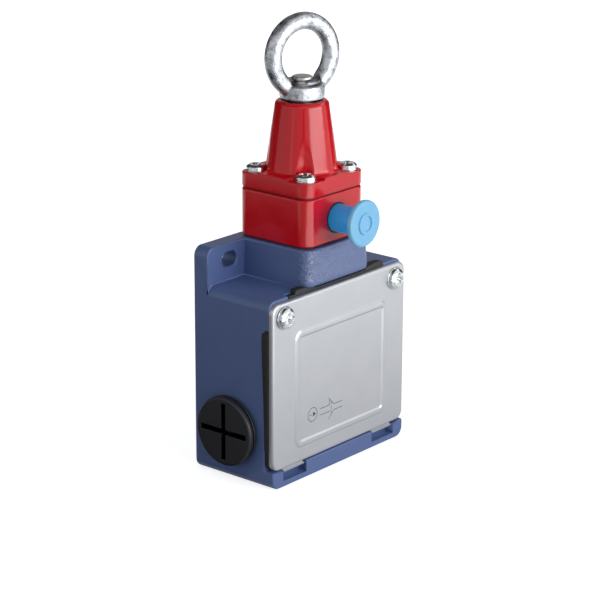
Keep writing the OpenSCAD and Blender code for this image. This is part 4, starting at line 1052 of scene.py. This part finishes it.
def newTree(name, inputs):
    tree = bpy.data.node_groups.new(name, "GeometryNodeTree")
    tree.interface.new_socket("Geometry", in_out="INPUT", socket_type="NodeSocketGeometry")
    for label, kind in inputs:
        tree.interface.new_socket(label, in_out="INPUT", socket_type="NodeSocket" + kind)
    tree.interface.new_socket("Geometry", in_out="OUTPUT", socket_type="NodeSocketGeometry")
    return tree, addNode(tree, "NodeGroupInput"), addNode(tree, "NodeGroupOutput")


def endTree(tree, source, output, finish):
    solid = addNode(tree, "GeometryNodeRealizeInstances", None, {0: source})
    shade = addNode(tree, "GeometryNodeSetShadeSmooth", None, {0: solid.outputs[0]})
    dressed = addNode(tree, "GeometryNodeSetMaterial", None, {0: shade.outputs[0], "Material": finish})
    tree.links.new(dressed.outputs[0], output.inputs[0])


def growPiece(name, tree, values):
    # one object with the tree on it, its inputs set before it is first evaluated
    piece = linkObject(name, bpy.data.meshes.new(name))
    grow = piece.modifiers.new(tree.name, "NODES")
    grow.node_group = tree
    for label, value in values.items():
        grow[socketId(tree, label)] = value
    return bakeShape(piece)


def screwRowsTree():
    tree, given, output = newTree("screwRows", (
        ("Screw", "Object"), ("Across", "Int"), ("Along", "Int"), ("Width", "Float"), ("Length", "Float"),
        ("Middle", "Vector"), ("Facing", "Rotation"), ("Seed", "Int"), ("Finish", "Material")))
    grid = addNode(tree, "GeometryNodeMeshGrid", None, {
        "Vertices X": given.outputs["Across"], "Vertices Y": given.outputs["Along"],
        "Size X": given.outputs["Width"], "Size Y": given.outputs["Length"]})
    spin = addNode(tree, "FunctionNodeRandomValue", {"data_type": "FLOAT", 3: 6.283},
                   {"Seed": given.outputs["Seed"]})
    turn = addNode(tree, "ShaderNodeCombineXYZ", None, {"Z": spin.outputs[1]})
    screw = addNode(tree, "GeometryNodeObjectInfo", {"transform_space": "ORIGINAL"},
                    {"Object": given.outputs["Screw"]})
    rows = addNode(tree, "GeometryNodeInstanceOnPoints", None, {
        "Points": grid.outputs[0], "Instance": screw.outputs["Geometry"], "Rotation": turn.outputs[0]})
    placed = addNode(tree, "GeometryNodeTransform", None, {
        "Geometry": rows.outputs[0], "Translation": given.outputs["Middle"],
        "Rotation": given.outputs["Facing"]})
    endTree(tree, placed.outputs[0], output, given.outputs["Finish"])
    return tree


def screwSet(tree, nodeName, name, across, along, headD, headH, threadD, facing, seed, lift):
    low, high = (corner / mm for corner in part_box(nodeName))
    size, middle = high - low, (low + high) / 2
    if facing == "up":
        turn, tall, length = Matrix.Identity(4), size.z, size.y - headD
        middle.z = high.z - headH + lift
    else:
        turn, tall, length = Matrix.Rotation(math.pi / 2, 4, "X"), size.y, size.z - headD
        middle.y = low.y + headH
    master = screwMesh(headD, headH - 0.05, threadD, tall - headH)
    piece = growPiece(name, tree, {
        "Screw": master, "Across": across, "Along": along, "Width": (size.x - headD) * mm,
        "Length": max(length, 0) * mm, "Middle": middle * mm, "Facing": turn.to_euler(), "Seed": seed,
        "Finish": finishes["zinc_plated_steel"]})
    bpy.data.objects.remove(master)
    return standsFor(piece, nodeName)


screwRows = screwRowsTree()
# node, name, screws across and along, head's width and height, thread, facing, seed of their turns, lift
for row in (("head_screws", "headScrews", 2, 2, 6.5, 2.3, 3.5, "up", 3, 0.72),
            ("cover_screws", "coverScrews", 2, 1, 6.8, 2.5, 3.5, "front", 5, 0.0),
            ("terminal_screws", "terminalScrews", 2, 2, 6.0, 2.2, 3.2, "front", 8, 0.0),
            ("base_screws", "baseScrews", 2, 1, 5.4, 1.9, 3.0, "front", 11, 0.0),
            ("earth_screw", "earthScrew", 1, 1, 6.4, 2.4, 3.5, "front", 14, 0.0)):
    screwSet(screwRows, *row)
print("screws placed")


def forgedSkinTree():
    # evens out the joins of a rough shape, then gives it the uneven skin of a forging, inwards only
    tree, given, output = newTree("forgedSkin", (
        ("Rough", "Object"), ("Passes", "Int"), ("Lump", "Float"), ("Grain", "Float"), ("Depth", "Float"),
        ("Seed", "Float"), ("Finish", "Material")))
    rough = addNode(tree, "GeometryNodeObjectInfo", {"transform_space": "ORIGINAL"},
                    {"Object": given.outputs["Rough"]})
    place = addNode(tree, "GeometryNodeInputPosition")
    even = addNode(tree, "GeometryNodeBlurAttribute", {"data_type": "FLOAT_VECTOR"},
                   {"Value": place, "Iterations": given.outputs["Passes"]})
    evened = addNode(tree, "GeometryNodeSetPosition", None, {
        "Geometry": rough.outputs["Geometry"], "Position": even})
    lumps = addNode(tree, "ShaderNodeTexNoise", {"noise_dimensions": "4D", "Detail": 2},
                    {"Vector": place, "Scale": given.outputs["Lump"], "W": given.outputs["Seed"]})
    grains = addNode(tree, "ShaderNodeTexNoise", {"noise_dimensions": "4D", "Detail": 2},
                     {"Vector": place, "Scale": given.outputs["Grain"], "W": given.outputs["Seed"]})
    mixed = addNode(tree, "ShaderNodeMath", {"operation": "MULTIPLY_ADD", 1: 0.45}, {0: grains, 2: lumps})
    below = addNode(tree, "ShaderNodeMath", {"operation": "SUBTRACT", 1: 1.2}, {0: mixed})
    deep = addNode(tree, "ShaderNodeMath", {"operation": "MULTIPLY"}, {0: below, 1: given.outputs["Depth"]})
    normal = addNode(tree, "GeometryNodeInputNormal")
    push = addNode(tree, "ShaderNodeVectorMath", {"operation": "SCALE"}, {0: normal, "Scale": deep})
    skin = addNode(tree, "GeometryNodeSetPosition", None, {"Geometry": evened, "Offset": push})
    endTree(tree, skin.outputs[0], output, given.outputs["Finish"])
    return tree


def pullEye():
    eye = {"skirt": 6.8, "skirtDrop": 0.8, "skirtTop": 1.4, "bore": 4.2, "voxel": 0.24, "passes": 6,
           "lump": 1.6, "grain": 0.5, "depth": 0.12}
    rough = cadCopy("pull_eye", "roughEye", None)
    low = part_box("pull_eye")[0].z / mm
    work = bmesh.new()
    skirt = softProfile([(eye["bore"], -eye["skirtDrop"]), (eye["skirt"], -eye["skirtDrop"], 0.3),
                         (eye["skirt"], eye["skirtTop"]), (eye["bore"], eye["skirtTop"]),
                         (eye["bore"], -eye["skirtDrop"])])
    lathe(work, skirt, Matrix.Translation(Vector((0, headAxis.y, low)) * mm), 96)
    combine(rough, [pieceFrom(work, "skirt", None)])
    remesh = rough.modifiers.new("evenMesh", "REMESH")
    remesh.mode = "VOXEL"
    remesh.voxel_size = eye["voxel"] * mm
    bakeShape(rough)
    piece = growPiece("pullEye", forgedSkinTree(), {
        "Rough": rough, "Passes": eye["passes"], "Lump": perMm(eye["lump"]), "Grain": perMm(eye["grain"]),
        "Depth": eye["depth"] * mm, "Seed": 4.0, "Finish": finishes["galvanised_steel"]})
    bpy.data.objects.remove(rough)
    return standsFor(piece, "pull_eye")


def shaftWiper():
    # rubber lip ring, sunk in the top of the cone
    wiper = {"bore": 4.15, "lip": 4.08, "outer": 6.15, "rim": 1.2, "lipTop": 1.3}
    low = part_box("shaft_wiper")[0].z / mm
    profile = softProfile([
        (wiper["bore"], 0.3), (4.6, 0), (wiper["outer"], 0, 0.2), (wiper["outer"], wiper["rim"], 0.3),
        (4.7, 1.0, 0.2), (wiper["lip"], wiper["lipTop"], 0.1), (wiper["bore"], 0.3)])
    work = bmesh.new()
    lathe(work, profile, Matrix.Translation(Vector((0, headAxis.y, low)) * mm), 72)
    piece = pieceFrom(work, "shaftWiper", "black_rubber")
    evenNormals(piece)
    return standsFor(bakeShape(piece), "shaft_wiper")


def turnedPiece(nodeName, name, slotName, edge):
    # the construction's own shape with its turned or punched edges broken
    piece = cadCopy(nodeName, name, slotName)
    softenEdges(piece, edge, 3, 28)
    return standsFor(bakeShape(piece), nodeName)


def coilTree():
    # wire wound round an axis: the end turns lie closed, the turns between share the rise
    tree, given, output = newTree("coilSpring", (
        ("Steps", "Int"), ("Radius", "Float"), ("Wire", "Float"), ("Rise", "Float"), ("Turns", "Float"),
        ("Middle", "Vector"), ("Facing", "Rotation"), ("Finish", "Material")))
    last = addNode(tree, "ShaderNodeMath", {"operation": "SUBTRACT", 1: 1}, {0: given.outputs["Steps"]})
    share = addNode(tree, "ShaderNodeMath", {"operation": "DIVIDE"},
                    {0: addNode(tree, "GeometryNodeInputIndex"), 1: last})
    turn = addNode(tree, "ShaderNodeMath", {"operation": "MULTIPLY"}, {0: share, 1: given.outputs["Turns"]})
    angle = addNode(tree, "ShaderNodeMath", {"operation": "MULTIPLY", 1: 2 * math.pi}, {0: turn})
    beforeEnd = addNode(tree, "ShaderNodeMath", {"operation": "SUBTRACT", 1: 1}, {0: given.outputs["Turns"]})
    climb = addNode(tree, "ShaderNodeMath", {"operation": "MULTIPLY_ADD", 1: -3},
                    {0: given.outputs["Wire"], 2: given.outputs["Rise"]})
    first = addNode(tree, "ShaderNodeMapRange", None, {"Value": turn, "To Max": given.outputs["Wire"]})
    middle = addNode(tree, "ShaderNodeMapRange", {"From Min": 1},
                     {"Value": turn, "From Max": beforeEnd, "To Max": climb})
    final = addNode(tree, "ShaderNodeMapRange", None, {
        "Value": turn, "From Min": beforeEnd, "From Max": given.outputs["Turns"],
        "To Max": given.outputs["Wire"]})
    height = addNode(tree, "ShaderNodeMath", {"operation": "ADD"}, {0: first, 1: middle})
    height = addNode(tree, "ShaderNodeMath", {"operation": "ADD"}, {0: height, 1: final})
    height = addNode(tree, "ShaderNodeMath", {"operation": "MULTIPLY_ADD", 1: 0.5},
                     {0: given.outputs["Wire"], 2: height})
    cosine = addNode(tree, "ShaderNodeMath", {"operation": "COSINE"}, {0: angle})
    sine = addNode(tree, "ShaderNodeMath", {"operation": "SINE"}, {0: angle})
    x = addNode(tree, "ShaderNodeMath", {"operation": "MULTIPLY"}, {0: cosine, 1: given.outputs["Radius"]})
    y = addNode(tree, "ShaderNodeMath", {"operation": "MULTIPLY"}, {0: sine, 1: given.outputs["Radius"]})
    line = addNode(tree, "GeometryNodeMeshLine", None, {"Count": given.outputs["Steps"]})
    wound = addNode(tree, "GeometryNodeSetPosition", None, {
        "Geometry": line, "Position": addNode(tree, "ShaderNodeCombineXYZ", None, {0: x, 1: y, 2: height})})
    path = addNode(tree, "GeometryNodeMeshToCurve", None, {0: wound})
    half = addNode(tree, "ShaderNodeMath", {"operation": "MULTIPLY", 1: 0.495}, {0: given.outputs["Wire"]})
    ring = addNode(tree, "GeometryNodeCurvePrimitiveCircle", {"Resolution": 14}, {"Radius": half})
    wire = addNode(tree, "GeometryNodeCurveToMesh", {"Fill Caps": True},
                   {"Curve": path, "Profile Curve": ring})
    placed = addNode(tree, "GeometryNodeTransform", None, {
        "Geometry": wire, "Translation": given.outputs["Middle"], "Rotation": given.outputs["Facing"]})
    endTree(tree, placed.outputs[0], output, given.outputs["Finish"])
    return tree


def coilSpring(tree, nodeName, name, wire, turns, facing):
    # the spring fills its node's box
    low, high = (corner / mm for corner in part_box(nodeName))
    size, start = high - low, (low + high) / 2
    if facing == "up":
        turn, rise, start.z = Matrix.Identity(4), size.z, low.z
    else:
        turn, rise, start.y = Matrix.Rotation(math.pi / 2, 4, "X"), size.y, high.y
    piece = growPiece(name, tree, {
        "Steps": int(turns * 40) + 1, "Radius": (size.x - wire) / 2 * mm, "Wire": wire * mm,
        "Rise": rise * mm, "Turns": float(turns), "Middle": start * mm, "Facing": turn.to_euler(),
        "Finish": finishes["spring_steel"]})
    return standsFor(piece, nodeName)


def contactMark():
    # printed contact diagram: circle with an arrow, a closing and an opening contact
    ink = {"x": -13.1, "z": 19.4, "line": 0.2, "radius": 2.15, "lift": 0.012}
    strokes = [((3.6, 0.85), (7.9, 0.85), (7.9, 2.4)), ((7.6, 3.1), (10.1, 0.65), (14.0, 0.65)),
               ((3.6, -1.2), (8.0, -1.2)), ((7.6, -3.6), (10.0, -1.25), (14.0, -1.25)),
               ((8.8, 1.9), (8.8, 0.9)), ((8.8, 0.4), (8.8, -0.6)), ((8.8, -1.1), (8.8, -2.1)),
               ((-1.3, 0), (-0.6, 0))]
    front = body["front"] + ink["lift"]
    work = bmesh.new()

    def patch(points):
        corners = [Vector((x + ink["x"], -front, z + ink["z"] + foot)) for x, z in points]
        work.faces.new([work.verts.new(corner * mm) for corner in corners])

    half = ink["line"] / 2
    for stroke in strokes:
        for start, end in zip(stroke, stroke[1:]):
            a, b = Vector(start), Vector(end)
            along = (b - a).normalized() * half
            side = Vector((-along.y, along.x))
            patch([a - along - side, b + along - side, b + along + side, a - along + side])
    for i in range(48):
        a, b = (math.tau * k / 48 for k in (i, i + 1))
        inner, outer = ink["radius"] - half, ink["radius"] + half
        patch([(inner * math.cos(a), inner * math.sin(a)), (outer * math.cos(a), outer * math.sin(a)),
               (outer * math.cos(b), outer * math.sin(b)), (inner * math.cos(b), inner * math.sin(b))])
    patch([(0.2, -0.8), (1.6, 0), (0.2, 0.8)])
    for face in work.faces:
        face.normal_update()
        if face.normal.y > 0:
            face.normal_flip()
    mesh = bpy.data.meshes.new("contactMark")
    work.to_mesh(mesh)
    work.free()
    mesh.materials.append(screenInk())
    piece = linkObject("contactMark", mesh)
    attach(piece, "housing")
    return piece


pullEye()
shaftWiper()
turnedPiece("pull_shaft", "pullShaft", "bright_steel", 0.22)
turnedPiece("retaining_clip", "retainingClip", "spring_steel", 0.14)
coils = coilTree()
returnSpring = coilSpring(coils, "return_spring", "returnSpring", 1.4, 7, "up")
latchSpring = coilSpring(coils, "latch_spring", "latchSpring", 0.5, 7, "front")
plungerSpring = coilSpring(coils, "plunger_spring", "plungerSpring", 0.5, 7, "up")
# spring, the joint that squeezes it, its axis, the end that stays seated and its length at rest, in mm
for spring, joint, axis, anchor, length in (
        (returnSpring, "pull_slide", (0, 0, 1), (0, 0, 34.2), 18.84),
        (latchSpring, "reset_slide", (0, 1, 0), (0, -35.4, 0), 7.31)):
    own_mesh(spring)
plungerSpring.parent = None  # it lies between two bodies instead of riding on one
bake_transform(plungerSpring)
contactMark()
print("eye forged, springs wound, cover printed")


def areaLamp(name, place, aim, size, power):
    lamp = bpy.data.lights.new(name, "AREA")
    lamp.shape = "RECTANGLE"
    lamp.size, lamp.size_y = size
    lamp.energy = power
    made = linkObject(name, lamp)
    made.location = place
    made.rotation_mode = "QUATERNION"
    made.rotation_quaternion = (Vector(aim) - Vector(place)).to_track_quat("-Z", "Y")
    return made


def mirrorCard(name, middle, size, grey, lying):
    # a card beside the set: seen in reflections only, it neither lights nor shades
    leastGrey = 0.004
    card = bpy.data.meshes.new(name)
    facing = (Vector((0, 0, middle[2])) - Vector(middle)).to_track_quat("Z", "Y").to_matrix()
    if lying:
        facing = Matrix.Identity(3)
    work = bmesh.new()
    work.faces.new([work.verts.new(Vector(middle) + facing @ Vector((x * size[0] / 2, y * size[1] / 2, 0)))
                    for x, y in ((-1, -1), (1, -1), (1, 1), (-1, 1))])
    work.to_mesh(card)
    work.free()
    paint = bpy.data.materials.new(name + "Paint")
    paint.use_nodes = True
    tree = paint.node_tree
    tree.nodes.clear()
    shine = addNode(tree, "ShaderNodeEmission", {"Color": (1, 1, 1, 1), "Strength": grey + leastGrey})
    addNode(tree, "ShaderNodeOutputMaterial", None, {"Surface": shine})
    card.materials.append(paint)
    made = linkObject(name, card)
    made.visible_camera = made.visible_diffuse = made.visible_shadow = made.visible_transmission = False


def paperFloor():
    # white paper: it keeps the object's shadow, turns white further off, and is mirrored dimmer close by, a
    # painted shade round the object's foot that only reflections see
    paper = bpy.data.materials.new("whitePaperFloor")
    paper.use_nodes = True
    tree = paper.node_tree
    tree.nodes.clear()
    rays = addNode(tree, "ShaderNodeLightPath")
    spot = addNode(tree, "ShaderNodeTexCoord").outputs["Object"]
    away = addNode(tree, "ShaderNodeVectorMath", {"operation": "LENGTH"}, {0: spot}).outputs["Value"]
    # distances from the object in m, and the glow seen and mirrored there
    shown = addNode(tree, "ShaderNodeMapRange",
                    {"From Min": 0.16, "From Max": 0.4, "To Min": 0.78, "To Max": 1.0}, {"Value": away})
    # painted shade: near the object the floor's glow is dimmer in reflections
    mirrored = addNode(tree, "ShaderNodeMapRange",
                       {"From Min": 0.07, "From Max": 0.24, "To Min": 0.25, "To Max": 0.85}, {"Value": away})
    strength = addNode(tree, "ShaderNodeMix", {"data_type": "FLOAT"},
                       {0: rays.outputs["Is Camera Ray"], 2: mirrored, 3: shown})
    matt = addNode(tree, "ShaderNodeBsdfDiffuse", {"Color": (0.8, 0.8, 0.8, 1)})
    dimmer = addNode(tree, "ShaderNodeBsdfDiffuse", {"Color": (0.6, 0.6, 0.6, 1)})
    glow = addNode(tree, "ShaderNodeEmission", {"Color": (1, 1, 1, 1)}, {"Strength": strength})
    both = addNode(tree, "ShaderNodeAddShader", None, {0: matt, 1: glow})
    seen = addNode(tree, "ShaderNodeMath", {"operation": "MAXIMUM"},
                   {0: rays.outputs["Is Camera Ray"], 1: rays.outputs["Is Glossy Ray"]})
    mix = addNode(tree, "ShaderNodeMixShader", None, {0: seen, 1: dimmer, 2: both})
    addNode(tree, "ShaderNodeOutputMaterial", None, {"Surface": mix})
    floorMesh = bpy.data.meshes.new("studioFloor")
    work = bmesh.new()
    work.faces.new([work.verts.new((x, y, cadLow.z)) for x, y in ((-6, -6), (6, -6), (6, 6), (-6, 6))])
    work.to_mesh(floorMesh)
    work.free()
    floorMesh.materials.append(paper)
    linkObject("studioFloor", floorMesh)


def studioAir():
    # white where it is seen or mirrored, and dim as a light
    world = bpy.data.worlds.new("studioAir")
    bpy.context.scene.world = world
    world.use_nodes = True
    tree = world.node_tree
    tree.nodes.clear()
    rays = addNode(tree, "ShaderNodeLightPath")
    dim = addNode(tree, "ShaderNodeBackground", {"Color": (1, 1, 1, 1), "Strength": 0.16})
    white = addNode(tree, "ShaderNodeBackground", {"Color": (1, 1, 1, 1), "Strength": 1.0})
    seen = addNode(tree, "ShaderNodeMath", {"operation": "MAXIMUM"},
                   {0: rays.outputs["Is Camera Ray"], 1: rays.outputs["Is Glossy Ray"]})
    seen = addNode(tree, "ShaderNodeMath", {"operation": "MAXIMUM"},
                   {0: seen, 1: rays.outputs["Is Transmission Ray"]})
    mix = addNode(tree, "ShaderNodeMixShader", None, {0: seen, 1: dim, 2: white})
    addNode(tree, "ShaderNodeOutputWorld", None, {"Surface": mix})


def buildStage():
    middle = Vector((0, -0.015, 0))
    areaLamp("keyFront", (0.17, -0.985, 0.2), middle, (1.15, 0.4), 7.0)
    areaLamp("softLeft", (-0.93, 0.36, 0.3), middle, (1.1, 0.9), 1.75)
    areaLamp("topFill", (0.0, 0.1, 1.1), middle, (0.9, 0.9), 1.6)
    paperFloor()
    # name, place and size in m, whether it lies flat, and how bright it is mirrored
    for name, place, size, lying, grey in (
            ("cardOnFloorLeft", (-0.15, 0.085, cadLow.z + 0.002), (0.24, 0.33), True, 0.0),
            ("cardNearLeft", (-0.18, -0.27, cadLow.z + 0.002), (0.3, 0.5), True, 0.45),
            ("cardFarLeft", (-0.68, 0.2, cadLow.z + 0.002), (0.7, 1.4), True, 0.6),
            ("cardLeft", (-0.62, 0.3, 0.12), (0.8, 0.5), False, 0.6),
            ("cardBackLeft", (-0.2, 0.66, 0.14), (0.5, 0.5), False, 0.02),
            ("cardBehind", (0.48, 0.42, 0.25), (0.42, 0.7), False, 0.4),
            ("cardBehindLeft", (0.12, 0.63, 0.25), (0.5, 0.7), False, 0.03),
            ("cardByCamera", (-0.72, -0.42, 0.13), (0.62, 0.4), False, 0.68),
            ("cardGap", (-0.56, -0.62, 0.13), (0.09, 0.4), False, 0.0),
            ("cardAbove", (-0.1, 0.35, 0.7), (1.6, 1.2), True, 0.05),
            ("cardInFront", (-0.06, -0.39, cadLow.z + 0.003), (0.28, 0.44), True, 3.4),
            ("cardEdgeLight", (0.62, -0.25, 0.52), (0.32, 0.32), False, 2.4),
            ("cardRight", (0.62, 0.0, 0.05), (0.56, 0.7), False, 0.04)):
        mirrorCard(name, place, size, grey, lying)
    studioAir()


def buildCamera():
    view = {"azimuth": -50.02, "elevation": 17.65, "distance": 0.68482, "roll": 0.22, "lens": 135.04,
            "target": (-0.0024, -0.017, -0.01513)}
    lens = bpy.data.cameras.new("studioCamera")
    lens.lens = view["lens"]
    lens.sensor_width = 36
    lens.clip_start = 0.01
    lens.clip_end = 50
    made = linkObject("studioCamera", lens)
    a, e = math.radians(view["azimuth"]), math.radians(view["elevation"])
    back = Vector((math.sin(a) * math.cos(e), -math.cos(a) * math.cos(e), math.sin(e)))
    made.location = Vector(view["target"]) + back * view["distance"]
    made.rotation_mode = "QUATERNION"
    turn = Matrix.Rotation(math.radians(view["roll"]), 3, "Z").to_quaternion()
    made.rotation_quaternion = (-back).to_track_quat("-Z", "Y") @ turn
    bpy.context.scene.camera = made


buildStage()
buildCamera()
bpy.context.scene.view_settings.view_transform = "Standard"
print("stage and camera set")
